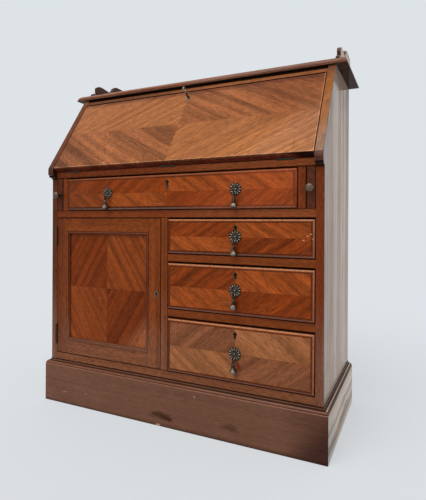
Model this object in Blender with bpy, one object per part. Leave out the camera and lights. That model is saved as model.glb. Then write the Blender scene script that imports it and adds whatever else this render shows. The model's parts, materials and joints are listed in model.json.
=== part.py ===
"""A slant-front bureau desk with its fall, cupboard, four drawers, lopers and fittings.

Frame: X runs to the viewer's right, Y to the back and Z up. The origin lies on the floor,
under the middle of the desk's overall box. Every length is in metres.

The fixed boards are placed in the desk's own frame. What moves hangs from an empty on its
joint's axis and is modelled in that empty's frame: the fall lies flat there, with its length
along Y and its thickness along Z, and the empty tips it to the slope of the desk.
"""
import math

import bmesh
import bpy
from mathutils import Matrix

MM = 0.001

# Clearances
SEAT = 0.3 * MM  # between two pieces that bear on one another
RUN = 1.2 * MM  # round a door, a drawer front or the fall in its opening
SLIDE = 0.5 * MM  # under and beside a piece that slides
OVERRUN = 2 * MM  # how far a cutter passes the face that it cuts from

# Carcass
BODY_W = 855 * MM
BODY_D = 386 * MM
SIDE_T = 20 * MM
BACK_T = 8 * MM
BOTTOM_T = 22 * MM
MID_T = 22 * MM
BED_T = 19.6 * MM
BED_PROUD = 2.5 * MM
RAIL_T = 22 * MM
PARTITION_T = 22 * MM
PARTITION_SHIFT = 10.5 * MM  # the partition stands this far left of the middle
STILE_T = 20 * MM
SHELF_T = 16 * MM
SHELF_SETBACK = 30 * MM

# Clear heights of the openings, from the bottom up
LOW_DRAWER_H = 150.3 * MM
MIDDLE_DRAWER_H = 130 * MM
HIGH_DRAWER_H = 98.8 * MM
TOP_DRAWER_H = 101.4 * MM

# Plinth
PLINTH_H = 128.4 * MM
PLINTH_FACE_H = 114.5 * MM
PLINTH_T = 30 * MM
PLINTH_OUT = 13.4 * MM
PLINTH_GROOVE = 1.2 * MM
PLINTH_OVOLO_R = 8 * MM
PLINTH_FILLET = 2.2 * MM

# Slope and nose of the side panels
SLOPE_ANGLE = math.radians(57)
NOSE_FACE_H = 20.5 * MM
NOSE_STEP = 4 * MM
NOSE_BEAD_H = 7 * MM
NOSE_COVE_H = 9 * MM

# Top board and gallery
TOP_T = 18 * MM
TOP_SIDE_OUT = 30 * MM
TOP_FRONT_OUT = 6.5 * MM
TOP_FILLET_H = 4.5 * MM
TOP_QUIRK = 1.5 * MM
GALLERY_T = 11 * MM
GALLERY_INSET = 26 * MM  # from the top board's end to the gallery's outer face
GALLERY_BACK_INSET = 3 * MM
GALLERY_L = 205 * MM
GALLERY_H = 76 * MM
GALLERY_BACK_H = 60 * MM
GALLERY_OUTLINE_SHARES = (
    (0.00, 0.00), (0.00, 0.16), (0.03, 0.24), (0.13, 0.25), (0.105, 0.36), (0.10, 0.48),
    (0.115, 0.59), (0.16, 0.66), (0.24, 0.67), (0.33, 0.635), (0.42, 0.60), (0.50, 0.62),
    (0.525, 0.75), (0.555, 0.87), (0.60, 0.96), (0.66, 0.99), (0.75, 0.985), (0.86, 0.97),
    (0.95, 0.94), (1.00, 0.84), (1.00, 0.00),
)

# Fall and the rail over it
FALL_L = 276.5 * MM
FALL_T = 20 * MM
FALL_FOOT_GAP = 0.6 * MM
FALL_BEVEL = 1.5 * MM
SLOPE_RAIL_W = 25.88 * MM  # up the slope, from the gap over the fall to the top board
STOP_T = 10 * MM
STOP_LIP = 9 * MM

# Lock, bolt and key of the fall
LOCK_W = 60 * MM
LOCK_H = 45 * MM
LOCK_T = 11 * MM
BOLT_W = 24 * MM
BOLT_L = 17 * MM
BOLT_T = 5 * MM
BOLT_DEPTH = 3 * MM  # of wood or case behind the bolt
BOLT_THROW = 8 * MM
KEY_DROP = 28.5 * MM  # keyhole below the fall's top edge
WELL_R = 8 * MM
WELL_FLOOR = 3 * MM
KEY_SHANK_R = 2.4 * MM
KEY_OUT = 26 * MM
KEY_TIP_GAP = 0.6 * MM
KEY_BIT_R = 6.8 * MM
KEY_BIT_L = 5 * MM
KEY_BIT_T = 2 * MM
KEY_BOW_R = 8.5 * MM
KEY_BOW_HOLE_R = 4.8 * MM
KEY_BOW_T = 2.8 * MM
KEY_COLLAR_R = 3.6 * MM
KEY_COLLAR_L = 3 * MM
KEY_COLLAR_OUT = 4 * MM

# Keyholes
KEYHOLE_R = 3.8 * MM
KEYHOLE_SLOT_W = 3.6 * MM
KEYHOLE_SLOT_L = 11 * MM
DRAWER_KEY_DROP = 21.5 * MM  # keyhole below a drawer front's top edge
DOOR_KEY_INSET = 14 * MM

# Hinges
KNUCKLE_R = 3.2 * MM
KNUCKLE_GAP = 0.4 * MM
KNUCKLE_COUNT = 3
PIN_R = 1.2 * MM
LEAF_T = 1.5 * MM
FALL_HINGE_L = 46 * MM
FALL_HINGE_INSET = 73.5 * MM  # from the side panel to the middle of an outer hinge
FALL_LEAF_W = 26 * MM
DOOR_HINGE_L = 60 * MM
DOOR_HINGE_INSET = 58 * MM  # from the opening's top or bottom to the hinge's middle
DOOR_LEAF_W = 19 * MM
DOOR_KNUCKLE_OUT = 3.6 * MM

# Door
DOOR_T = 20 * MM
DOOR_FRAME_W = 40.5 * MM
DOOR_LIP_W = 9 * MM
DOOR_LIP_T = 4.5 * MM
DOOR_LIP_RISE = 1.5 * MM  # the moulding stands this far proud of the frame
DOOR_PANEL_SINK = 6.5 * MM
DOOR_PANEL_T = 8 * MM
DOOR_REBATE_W = 3 * MM

# Lopers
LOPER_T = 22 * MM
LOPER_BAY_W = 24 * MM
LOPER_BACK_GAP = 37.7 * MM
LOPER_TOP_GAP = 0.8 * MM
LOPER_KNOB_R = 11 * MM
LOPER_KNOB_OUT = 25 * MM
LOPER_KNOB_DROP = 2.5 * MM  # knob below the middle of the loper's height
LOPER_KNOB_SHARES = (
    (0.62, 0.00), (0.66, 0.06), (0.50, 0.14), (0.42, 0.26), (0.50, 0.40),
    (0.84, 0.52), (1.00, 0.68), (0.95, 0.84), (0.68, 0.95), (0.25, 1.00),
)

# Drawers
DRAWER_FRONT_T = 20 * MM
DRAWER_PROUD = 4.5 * MM
DRAWER_TOP_GAP = 3.5 * MM  # over a drawer front
DRAWER_OVOLO = 9 * MM
DRAWER_OVOLO_DEPTH = 4 * MM
TRAY_WALL = 10 * MM
TRAY_FLOOR = 6 * MM
TRAY_SIDE_GAP = 1.5 * MM
TRAY_HEADROOM = 16 * MM
TRAY_BACK_GAP = 20 * MM

# Drop handles
PLATE_R = 16.8 * MM
PLATE_T = 1.4 * MM
PLATE_BOSS_H = 3.4 * MM
PLATE_LOBES = 8
PLATE_LOBE_SHARE = 0.09
PLATE_SHARES = ((1.00, 0.0), (1.00, 0.45), (0.80, 0.60), (0.45, 0.70), (0.30, 1.0), (0.10, 1.05))
PIVOT_OUT = 11.5 * MM
PIVOT_DROP = 8 * MM
EAR_T = 1.8 * MM
EAR_R = 2.6 * MM
EYE_W = 4.6 * MM
EYE_R = 3.2 * MM
EYE_SIDE_GAP = 0.5 * MM
DROP_L = 40.5 * MM
DROP_R = 9.5 * MM
DROP_SHARES = (
    (0.24, 0.06), (0.28, 0.11), (0.46, 0.15), (0.35, 0.20), (0.40, 0.32), (0.46, 0.48),
    (0.43, 0.58), (0.60, 0.63), (0.56, 0.67), (0.86, 0.73), (1.00, 0.82), (0.94, 0.91),
    (0.62, 0.97), (0.18, 1.00),
)

# Pigeonholes
NEST_D = 167 * MM
NEST_H = 190 * MM
NEST_WALL = 7 * MM
NEST_BAYS = 5
NEST_MIDDLE_SHARE = 0.28  # of the nest's width, taken by its middle bay

# Facets
ROUND_SEGMENTS = 16
ARC_STEPS = 4

# Base colour, roughness and metallic value of each finish
FINISHES = {
    "veneer": ((0.30, 0.085, 0.030), 0.28, 0.0),
    "frame": ((0.20, 0.060, 0.022), 0.30, 0.0),
    "dark": ((0.085, 0.030, 0.016), 0.34, 0.0),
    "plinth": ((0.16, 0.075, 0.045), 0.38, 0.0),
    "inside": ((0.33, 0.20, 0.10), 0.60, 0.0),
    "brass": ((0.24, 0.18, 0.09), 0.40, 1.0),
    "bronze": ((0.13, 0.11, 0.075), 0.42, 1.0),
    "steel": ((0.30, 0.29, 0.27), 0.40, 1.0),
}

# Levels and places that follow from the sizes
half_w = BODY_W / 2
inner_x = half_w - SIDE_T
partition_left = -PARTITION_SHIFT - PARTITION_T / 2
partition_right = -PARTITION_SHIFT + PARTITION_T / 2
drawer_x = (partition_right + inner_x) / 2
bay_x = inner_x - LOPER_BAY_W
top_drawer_half = bay_x - STILE_T
loper_x = inner_x - LOPER_BAY_W / 2
carcass_z = PLINTH_H + SEAT
floor_z = carcass_z + BOTTOM_T
low_rail_z = floor_z + LOW_DRAWER_H
high_rail_z = low_rail_z + RAIL_T + MIDDLE_DRAWER_H
mid_z = high_rail_z + RAIL_T + HIGH_DRAWER_H
bay_z = mid_z + MID_T
bed_z = bay_z + TOP_DRAWER_H
desk_z = bed_z + BED_T
desk_h = (FALL_L + RUN + SLOPE_RAIL_W) * math.sin(SLOPE_ANGLE) + FALL_T * math.cos(SLOPE_ANGLE)
ceiling_z = desk_z + desk_h
top_z = ceiling_z + SEAT
handle_reach = DRAWER_PROUD + SEAT + PIVOT_OUT + DROP_R
nose_reach = BED_PROUD + FALL_T * math.sin(SLOPE_ANGLE)
front_reach = max(handle_reach, nose_reach, PLINTH_OUT, SEAT + LOPER_KNOB_OUT)
back_y = (BODY_D + front_reach) / 2
front_y = back_y - BODY_D
pin_y = front_y - BED_PROUD
inside_back_y = back_y - BACK_T - SEAT
cupboard_h = mid_z - floor_z


def slope_to_yz(along, out):
    """Desk-frame Y and Z of a point on the fall: along its length, and out from its inner face."""
    y = pin_y + along * math.cos(SLOPE_ANGLE) - out * math.sin(SLOPE_ANGLE)
    z = desk_z + along * math.sin(SLOPE_ANGLE) + out * math.cos(SLOPE_ANGLE)
    return y, z


def slope_y(z, out):
    """Desk-frame Y at which a plane parallel to the fall stands at a given height."""
    along = (z - desk_z - out * math.cos(SLOPE_ANGLE)) / math.sin(SLOPE_ANGLE)
    return slope_to_yz(along, out)[0]


def clear_scene():
    """Remove the objects that the file opened with."""
    for obj in list(bpy.data.objects):
        bpy.data.objects.remove(obj, do_unlink=True)


def finish(node, kind):
    """The node's own material."""
    colour, roughness, metallic = FINISHES[kind]
    material = bpy.data.materials.new(node + "_finish")
    material.use_nodes = True
    shader = material.node_tree.nodes["Principled BSDF"]
    shader.inputs["Base Color"].default_value = (*colour, 1.0)
    shader.inputs["Roughness"].default_value = roughness
    shader.inputs["Metallic"].default_value = metallic
    material.diffuse_color = (*colour, 1.0)
    return material


def link(name, mesh, parent=None, at=(0, 0, 0)):
    """An object in the scene, placed in its parent's frame."""
    obj = bpy.data.objects.new(name, mesh)
    bpy.context.scene.collection.objects.link(obj)
    obj.parent = parent
    obj.location = at
    return obj


def node(name, mesh, kind, parent=None, at=(0, 0, 0)):
    """One named piece of the desk."""
    if not mesh.materials:
        mesh.materials.append(finish(name, kind))
    return link(name, mesh, parent, at)


def own_copy(mesh):
    """A copy of a mesh without its material, for another piece of the same shape."""
    copy = mesh.copy()
    copy.materials.clear()
    return copy


def axis_empty(name, at, tilt=0, parent=None):
    """An empty on a joint's axis."""
    empty = link(name, None, parent, at)
    empty.rotation_euler = (tilt, 0, 0)
    return empty


def cut(obj, name, mesh, parent=None, at=(0, 0, 0)):
    """Take a cutter's shape out of a piece, and keep the cutter as a wire guide."""
    cutter = link(name, mesh, parent, at)
    cutter.hide_render = True
    cutter.display_type = "WIRE"
    boolean = obj.modifiers.new(name, "BOOLEAN")
    boolean.operation = "DIFFERENCE"
    boolean.solver = "EXACT"
    boolean.object = cutter


def to_mesh(bm, smooth=False):
    """A mesh with its faces pointing out."""
    bmesh.ops.recalc_face_normals(bm, faces=bm.faces)
    mesh = bpy.data.meshes.new("solid")
    bm.to_mesh(mesh)
    bm.free()
    if smooth:
        mesh.shade_smooth()
        mesh.set_sharp_from_angle(angle=math.radians(40))
    return mesh


def loft(rings, closed=False, smooth=False):
    """A solid through rings of points, capped at its two ends unless it closes on itself."""
    bm = bmesh.new()
    rows = [[bm.verts.new(point) for point in ring] for ring in rings]
    pairs = list(zip(rows, rows[1:]))
    if closed:
        pairs.append((rows[-1], rows[0]))
    else:
        bm.faces.new(rows[0])
        bm.faces.new(rows[-1])
    count = len(rows[0])
    for low, high in pairs:
        for i in range(count):
            j = (i + 1) % count
            bm.faces.new((low[i], low[j], high[j], high[i]))
    return to_mesh(bm, smooth)


def box(x0, x1, y0, y1, z0, z1):
    """A box between two corners."""
    return loft([[(x0, y0, z), (x1, y0, z), (x1, y1, z), (x0, y1, z)] for z in (z0, z1)])


def prism_x(outline, x0, x1):
    """An outline of Y and Z pushed along X."""
    return loft([[(x, y, z) for y, z in outline] for x in (x0, x1)])


def turned(profile, axis="Z", segments=ROUND_SEGMENTS, lobes=0, lobe_share=0):
    """A turned solid through radius and height pairs, with a lobed rim where it is asked for."""
    rings = []
    for radius, height in profile:
        ring = []
        for i in range(segments):
            angle = math.tau * i / segments
            reach = radius * (1 + lobe_share * math.cos(lobes * angle))
            side, up = reach * math.cos(angle), reach * math.sin(angle)
            ring.append({"X": (height, side, up), "Y": (side, height, up), "Z": (side, up, height)}[axis])
        rings.append(ring)
    return loft(rings, smooth=True)


def rod(axis, radius, start, end, across=0, up=0):
    """A cylinder along an axis, moved off it by two offsets along the other axes, in order."""
    mesh = turned(((radius, start), (radius, end)), axis)
    shift = {"X": (0, across, up), "Y": (across, 0, up), "Z": (across, up, 0)}[axis]
    mesh.transform(Matrix.Translation(shift))
    return mesh


def combine(solids, holes=()):
    """One closed solid from several that overlap, less the holes."""
    base = link("base", solids[0])
    helpers = []
    for operation, meshes in (("UNION", solids[1:]), ("DIFFERENCE", holes)):
        for mesh in meshes:
            helper = link("helper", mesh)
            boolean = base.modifiers.new("combine", "BOOLEAN")
            boolean.operation = operation
            boolean.solver = "EXACT"
            boolean.object = helper
            helpers.append(helper)
    depsgraph = bpy.context.evaluated_depsgraph_get()
    mesh = bpy.data.meshes.new_from_object(base.evaluated_get(depsgraph))
    for obj in [base, *helpers]:
        bpy.data.objects.remove(obj, do_unlink=True)
    return mesh


def pocket_block(xs, zs, is_pocket, depth, pocket_depth):
    """A block from Y zero back, with pockets sunk in its front between grid lines in X and Z."""
    bm = bmesh.new()
    grid = [[bm.verts.new((x, 0, z)) for z in zs] for x in xs]
    pockets = []
    for i in range(len(xs) - 1):
        for j in range(len(zs) - 1):
            corners = (grid[i][j], grid[i + 1][j], grid[i + 1][j + 1], grid[i][j + 1])
            face = bm.faces.new(corners)
            if is_pocket(i, j):
                pockets.append(face)
    rim = [edge for edge in bm.edges if edge.is_boundary]
    walls = bmesh.ops.extrude_edge_only(bm, edges=rim)["geom"]
    far = [item for item in walls if isinstance(item, bmesh.types.BMVert)]
    bmesh.ops.translate(bm, verts=far, vec=(0, depth, 0))
    bmesh.ops.contextual_create(bm, geom=[edge for edge in bm.edges if edge.is_boundary])
    floors = bmesh.ops.extrude_discrete_faces(bm, faces=pockets)["faces"]
    sunk = list({vert for face in floors for vert in face.verts})
    bmesh.ops.translate(bm, verts=sunk, vec=(0, pocket_depth, 0))
    return to_mesh(bm)


def arc(centre_a, centre_b, radius, start, end, steps=ARC_STEPS):
    """Points along an arc in a plane, angles in degrees."""
    points = []
    for i in range(steps + 1):
        angle = math.radians(start + (end - start) * i / steps)
        points.append((centre_a + radius * math.cos(angle), centre_b + radius * math.sin(angle)))
    return points


def keyhole(depth):
    """A keyhole cutter that starts at Y zero and runs back, with its round part at the origin."""
    half = KEYHOLE_SLOT_W / 2
    slot = box(-half, half, 0, depth, -KEYHOLE_SLOT_L, 0)
    return combine([rod("Y", KEYHOLE_R, 0, depth), slot])


def side_outline():
    """The side panel's outline: foot, front edge, nose, slope and top."""
    nose_y, nose_z = slope_to_yz(0, FALL_T)
    step_z = nose_z - NOSE_FACE_H
    bead_r = NOSE_BEAD_H / 2
    bead_y = nose_y + NOSE_STEP + bead_r
    cove_z = step_z - NOSE_BEAD_H
    outline = [(back_y, carcass_z), (front_y, carcass_z), (front_y, cove_z - NOSE_COVE_H)]
    outline += [(front_y - (front_y - bead_y) * (1 - math.cos(t)), cove_z - NOSE_COVE_H * (1 - math.sin(t)))
                for t in [math.pi / 2 * i / ARC_STEPS for i in range(1, ARC_STEPS + 1)]]
    outline += arc(bead_y, step_z - bead_r, bead_r, 270, 90)[1:]
    outline += [(nose_y, step_z), (nose_y, nose_z), (slope_y(ceiling_z, FALL_T), ceiling_z)]
    outline.append((back_y, ceiling_z))
    return outline


def build_sides():
    """The two shaped side panels. The left one is let in for the door's hinges."""
    outline = side_outline()
    left = node("side_left", prism_x(outline, -half_w, -inner_x), "veneer")
    node("side_right", prism_x(outline, inner_x, half_w), "veneer")
    half = DOOR_HINGE_L / 2 + SEAT
    for i, z in enumerate(door_hinge_heights()):
        mortise = box(-inner_x - LEAF_T - SEAT, -inner_x + OVERRUN, front_y - OVERRUN,
                      front_y + DOOR_LEAF_W - DOOR_KNUCKLE_OUT + SEAT, z - half, z + half)
        cut(left, f"side_hinge_mortise_{i}", mortise)


def build_boards():
    """The level and upright boards between the sides."""
    width = inner_x - SEAT

    def level(name, x0, x1, y0, z0, thickness, kind):
        return node(name, box(x0, x1, y0, inside_back_y, z0, z0 + thickness), kind)

    level("bottom_board", -width, width, front_y, carcass_z, BOTTOM_T, "frame")
    level("mid_board", -width, width, front_y, mid_z, MID_T, "frame")
    for name, z in (("drawer_rail_low", low_rail_z), ("drawer_rail_high", high_rail_z)):
        level(name, partition_right + SEAT, width, front_y, z, RAIL_T, "frame")
    shelf_z = (floor_z + mid_z - SHELF_T) / 2
    level("cupboard_shelf", -width, partition_left - SEAT, front_y + DOOR_T + SHELF_SETBACK,
          shelf_z, SHELF_T, "inside")
    node("centre_partition", box(partition_left, partition_right, front_y, inside_back_y,
                                 floor_z + SEAT, mid_z - SEAT), "frame")
    for side, name in ((-1, "loper_stile_left"), (1, "loper_stile_right")):
        x0, x1 = sorted((side * top_drawer_half, side * bay_x))
        node(name, box(x0, x1, front_y, inside_back_y, bay_z + SEAT, bed_z - SEAT), "frame")
    node("back_board", box(-width, width, back_y - BACK_T, back_y, carcass_z, ceiling_z), "inside")
    bed = level("desk_bed", -width, width, pin_y, bed_z, BED_T, "frame")
    for i, x in enumerate(fall_hinge_places()):
        cut(bed, f"bed_hinge_mortise_{i}", hinge_mortise(FALL_HINGE_L, FALL_LEAF_W, -1), at=(x, pin_y, desk_z))


def plinth_profile():
    """Inset from the plinth's outer face, and height, from the foot up to the moulded top."""
    ovolo_z = PLINTH_FACE_H + PLINTH_GROOVE
    profile = [(PLINTH_T, 0), (0, 0), (0, PLINTH_FACE_H), (PLINTH_GROOVE, ovolo_z)]
    profile += [(PLINTH_GROOVE + PLINTH_OVOLO_R - a, ovolo_z + b)
                for a, b in arc(0, 0, PLINTH_OVOLO_R, 0, 90)[1:]]
    fillet_in = PLINTH_GROOVE + PLINTH_OVOLO_R + PLINTH_FILLET
    profile += [(fillet_in, ovolo_z + PLINTH_OVOLO_R), (fillet_in, PLINTH_H), (PLINTH_T, PLINTH_H)]
    return profile


def build_plinth():
    """Four plinth boards, moulded on the front and the ends and mitred at the front corners."""
    outer_x = half_w + PLINTH_OUT
    outer_y = front_y - PLINTH_OUT
    profile = plinth_profile()
    front = [[(side * (outer_x - inset - SEAT), outer_y + inset, z) for inset, z in profile] for side in (-1, 1)]
    node("plinth_front", loft(front), "plinth")
    for side, name in ((-1, "plinth_left"), (1, "plinth_right")):
        near = [(side * (outer_x - inset), outer_y + inset + SEAT, z) for inset, z in profile]
        far = [(side * (outer_x - inset), back_y, z) for inset, z in profile]
        node(name, loft([near, far]), "plinth")
    width = outer_x - PLINTH_T - SEAT
    node("plinth_back", box(-width, width, back_y - PLINTH_T, back_y, 0, PLINTH_H), "inside")


def build_top():
    """The top board, with an ovolo over a fillet on its front and ends, and the gallery on it."""
    out_x = half_w + TOP_SIDE_OUT
    out_y = slope_y(ceiling_z, FALL_T) - TOP_FRONT_OUT
    ovolo_r = TOP_T - TOP_FILLET_H
    profile = [(0, 0), (0, TOP_FILLET_H)]
    profile += [(TOP_QUIRK + ovolo_r - a, TOP_FILLET_H + b) for a, b in arc(0, 0, ovolo_r, 0, 90)]
    rings = []
    for inset, rise in profile:
        x, y, z = out_x - inset, out_y + inset, top_z + rise
        rings.append([(-x, y, z), (x, y, z), (x, back_y, z), (-x, back_y, z)])
    node("top_board", loft(rings), "veneer")
    build_gallery(out_x - GALLERY_INSET, top_z + TOP_T + SEAT)


def build_gallery(outer, base_z):
    """Two shaped gallery ends with a plain board between them at the back."""
    rear = back_y - GALLERY_BACK_INSET
    outline = [(rear - GALLERY_L * (1 - along), base_z + GALLERY_H * up) for along, up in GALLERY_OUTLINE_SHARES]
    node("gallery_left", prism_x(outline, -outer, GALLERY_T - outer), "veneer")
    node("gallery_right", prism_x(outline, outer - GALLERY_T, outer), "veneer")
    width = outer - GALLERY_T - SEAT
    node("gallery_back", box(-width, width, rear - GALLERY_T, rear, base_z, base_z + GALLERY_BACK_H), "veneer")


def build_slope_rail():
    """The fixed rail over the fall, with the lip that stops the fall and a mortise for its bolt."""
    start = FALL_L + RUN
    lip = FALL_L - STOP_LIP
    outline = [slope_to_yz(start, FALL_T), (slope_y(ceiling_z, FALL_T), ceiling_z)]
    outline += [(slope_y(ceiling_z, -STOP_T), ceiling_z), slope_to_yz(lip, -STOP_T)]
    outline += [slope_to_yz(lip, -SEAT), slope_to_yz(start, -SEAT)]
    width = inner_x - SEAT
    rail = node("slope_rail", prism_x(outline, -width, width), "frame")
    guide = axis_empty("slope_guide", (0, pin_y, desk_z), SLOPE_ANGLE)
    half = BOLT_W / 2 + RUN
    mortise = box(-half, half, start - OVERRUN, FALL_L + BOLT_THROW + RUN,
                  BOLT_DEPTH - RUN, BOLT_DEPTH + BOLT_T + RUN)
    cut(rail, "bolt_mortise", mortise, guide)


def build_nest():
    """The pigeonholes at the back of the desk: a wide middle bay and two at each side, all halved."""
    half = inner_x - SEAT
    middle = 2 * half * NEST_MIDDLE_SHARE
    side_bay = (2 * half - middle - (NEST_BAYS + 1) * NEST_WALL) / (NEST_BAYS - 1)
    xs = [-half]
    for i in range(NEST_BAYS):
        start = xs[-1] + NEST_WALL
        width = middle if i == NEST_BAYS // 2 else side_bay
        xs += [start, start + width]
    xs.append(xs[-1] + NEST_WALL)
    shelf = (NEST_H - NEST_WALL) / 2
    zs = [0, NEST_WALL, shelf, shelf + NEST_WALL, NEST_H - NEST_WALL, NEST_H]
    nest = pocket_block(xs, zs, lambda i, j: i % 2 == 1 and j % 2 == 1, NEST_D, NEST_D - NEST_WALL)
    node("pigeonhole_nest", nest, "inside", at=(0, inside_back_y - NEST_D - SEAT, desk_z + SEAT))


def hinge_leaf(length, width, low, high, knuckles):
    """A hinge leaf with its axis along X. Its plate runs to +Y between two heights."""
    pitch = length / KNUCKLE_COUNT
    notch = KNUCKLE_R + KNUCKLE_GAP
    solids = [box(-length / 2, length / 2, notch, width, low, high)]
    holes = []
    for k in knuckles:
        start = -length / 2 + k * pitch + KNUCKLE_GAP / 2
        end = start + pitch - KNUCKLE_GAP
        solids.append(box(start, end, 0, notch + OVERRUN, low, high))
        solids.append(rod("X", KNUCKLE_R, start, end))
    if len(knuckles) > 1:
        solids.append(rod("X", PIN_R, -length / 2, length / 2))
    else:
        holes.append(rod("X", PIN_R + SEAT, -length, length))
    return combine(solids, holes)


def hinge_mortise(length, width, side):
    """A cutter for a leaf and its knuckles at a corner, below the axis or above it."""
    half = length / 2 + SEAT
    low, high = sorted((-side * OVERRUN, side * (LEAF_T + SEAT)))
    plate = box(-half, half, 0, width + SEAT, low, high)
    return combine([plate, rod("X", KNUCKLE_R + KNUCKLE_GAP, -half, half)])


def fall_hinge_places():
    """X of the fall's three hinges."""
    outer = inner_x - FALL_HINGE_INSET
    return -outer, 0, outer


def door_hinge_heights():
    """Z of the middle of the door's two hinges."""
    return floor_z + DOOR_HINGE_INSET, mid_z - DOOR_HINGE_INSET


def build_fall():
    """The fall, modelled lying flat from its hinge pin, with its hinges, lock, bolt and key."""
    axis = axis_empty("fall_axis", (0, pin_y, desk_z), SLOPE_ANGLE)
    width = inner_x - RUN
    rings = []
    for inset, z in ((0, 0), (0, FALL_T - FALL_BEVEL), (FALL_BEVEL, FALL_T)):
        x, low, high = width - inset, FALL_FOOT_GAP + inset, FALL_L - inset
        rings.append([(-x, low, z), (x, low, z), (x, high, z), (-x, high, z)])
    fall = node("fall_flap", loft(rings), "veneer", axis)
    bed_leaf = hinge_leaf(FALL_HINGE_L, FALL_LEAF_W, -LEAF_T, 0, (0, 2))
    flap_leaf = hinge_leaf(FALL_HINGE_L, FALL_LEAF_W, 0, LEAF_T, (1,))
    for i, x in enumerate(fall_hinge_places()):
        cut(fall, f"fall_hinge_mortise_{i}", hinge_mortise(FALL_HINGE_L, FALL_LEAF_W, 1), axis, (x, 0, 0))
        node(f"fall_hinge_{i + 1}_bed_leaf", own_copy(bed_leaf), "brass", at=(x, pin_y, desk_z))
        node(f"fall_hinge_{i + 1}_flap_leaf", own_copy(flap_leaf), "brass", axis, (x, 0, 0))
    build_fall_lock(fall, axis)


def build_fall_lock(fall, axis):
    """The lock let into the fall's inner face, its bolt and the key that stands in it."""
    half = LOCK_W / 2
    low = FALL_L - LOCK_H
    key_y = FALL_L - KEY_DROP
    mortise = box(-half - SEAT, half + SEAT, low - SEAT, FALL_L + OVERRUN, -OVERRUN, LOCK_T + SEAT)
    cut(fall, "lock_mortise", mortise, axis)
    slot_half = KEYHOLE_SLOT_W / 2
    hole = combine([rod("Z", KEYHOLE_R, LOCK_T, FALL_T + OVERRUN),
                    box(-slot_half, slot_half, -KEYHOLE_SLOT_L, 0, LOCK_T, FALL_T + OVERRUN)])
    cut(fall, "fall_keyhole", hole, axis, (0, key_y, 0))

    bolt_half = BOLT_W / 2
    bolt_end = FALL_L - SLIDE
    slot = box(-bolt_half - SEAT, bolt_half + SEAT, bolt_end - BOLT_L - SLIDE, FALL_L + OVERRUN,
               BOLT_DEPTH - SEAT, BOLT_DEPTH + BOLT_T + SEAT)
    well = rod("Z", WELL_R, WELL_FLOOR, LOCK_T + OVERRUN, up=key_y)
    case = combine([box(-half, half, low, FALL_L - SEAT, 0, LOCK_T)], [slot, well])
    node("fall_lock", case, "brass", axis)
    slide = axis_empty("bolt_slide", (0, bolt_end, BOLT_DEPTH), parent=axis)
    node("fall_bolt", box(-bolt_half, bolt_half, -BOLT_L, 0, 0, BOLT_T), "steel", slide)
    key_axis = axis_empty("key_axis", (0, key_y, FALL_T), parent=axis)
    node("fall_key", key_mesh(), "steel", key_axis)


def key_mesh():
    """The key, its shank along Z from its bit below the fall's face to its bow above."""
    tip = WELL_FLOOR + KEY_TIP_GAP - FALL_T
    bow_z = KEY_OUT + KEY_BOW_R - KEY_SHANK_R
    bit_half = KEY_BIT_T / 2
    bow_half = KEY_BOW_T / 2
    bow = combine([rod("X", KEY_BOW_R, -bow_half, bow_half, up=bow_z)],
                  [rod("X", KEY_BOW_HOLE_R, -KEY_BOW_T, KEY_BOW_T, up=bow_z)])
    shank = rod("Z", KEY_SHANK_R, tip, KEY_OUT)
    bit = box(-bit_half, bit_half, -KEY_BIT_R, 0, tip, tip + KEY_BIT_L)
    collar = rod("Z", KEY_COLLAR_R, KEY_COLLAR_OUT, KEY_COLLAR_OUT + KEY_COLLAR_L)
    return combine([shank, bit, collar, bow])


def build_door():
    """The cupboard door on its two hinges: a moulded frame and the panel behind its lip."""
    axis_x = -inner_x + RUN / 2
    axis = axis_empty("door_axis", (axis_x, front_y - DOOR_KNUCKLE_OUT, floor_z))
    face = DOOR_KNUCKLE_OUT
    x0, x1 = RUN / 2, partition_left - RUN - axis_x
    z0, z1 = RUN, cupboard_h - RUN
    lip_in = DOOR_FRAME_W + DOOR_LIP_W
    rebate_in = lip_in - DOOR_REBATE_W
    sink = face + DOOR_PANEL_SINK
    crown = face - DOOR_LIP_RISE
    profile = [(0, face), (DOOR_FRAME_W, face)]
    profile += [(DOOR_FRAME_W + DOOR_LIP_W * math.sin(t), crown + DOOR_LIP_T * (1 - math.cos(t)))
                for t in [math.pi / 2 * i / ARC_STEPS for i in range(ARC_STEPS + 1)]]
    profile += [(lip_in, sink - SEAT), (rebate_in, sink - SEAT), (rebate_in, face + DOOR_T), (0, face + DOOR_T)]
    rings = [[(x0 + i, y, z0 + i), (x1 - i, y, z0 + i), (x1 - i, y, z1 - i), (x0 + i, y, z1 - i)]
             for i, y in profile]
    frame = node("door_frame", loft(rings, closed=True), "frame", axis)
    inset = rebate_in + SEAT
    panel = box(x0 + inset, x1 - inset, sink, sink + DOOR_PANEL_T, z0 + inset, z1 - inset)
    node("door_panel", panel, "veneer", axis)
    key_at = (x1 - DOOR_KEY_INSET, face - OVERRUN, cupboard_h / 2)
    cut(frame, "door_keyhole", keyhole(DOOR_T + 2 * OVERRUN), axis, key_at)
    build_door_hinges(frame, axis)


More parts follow.
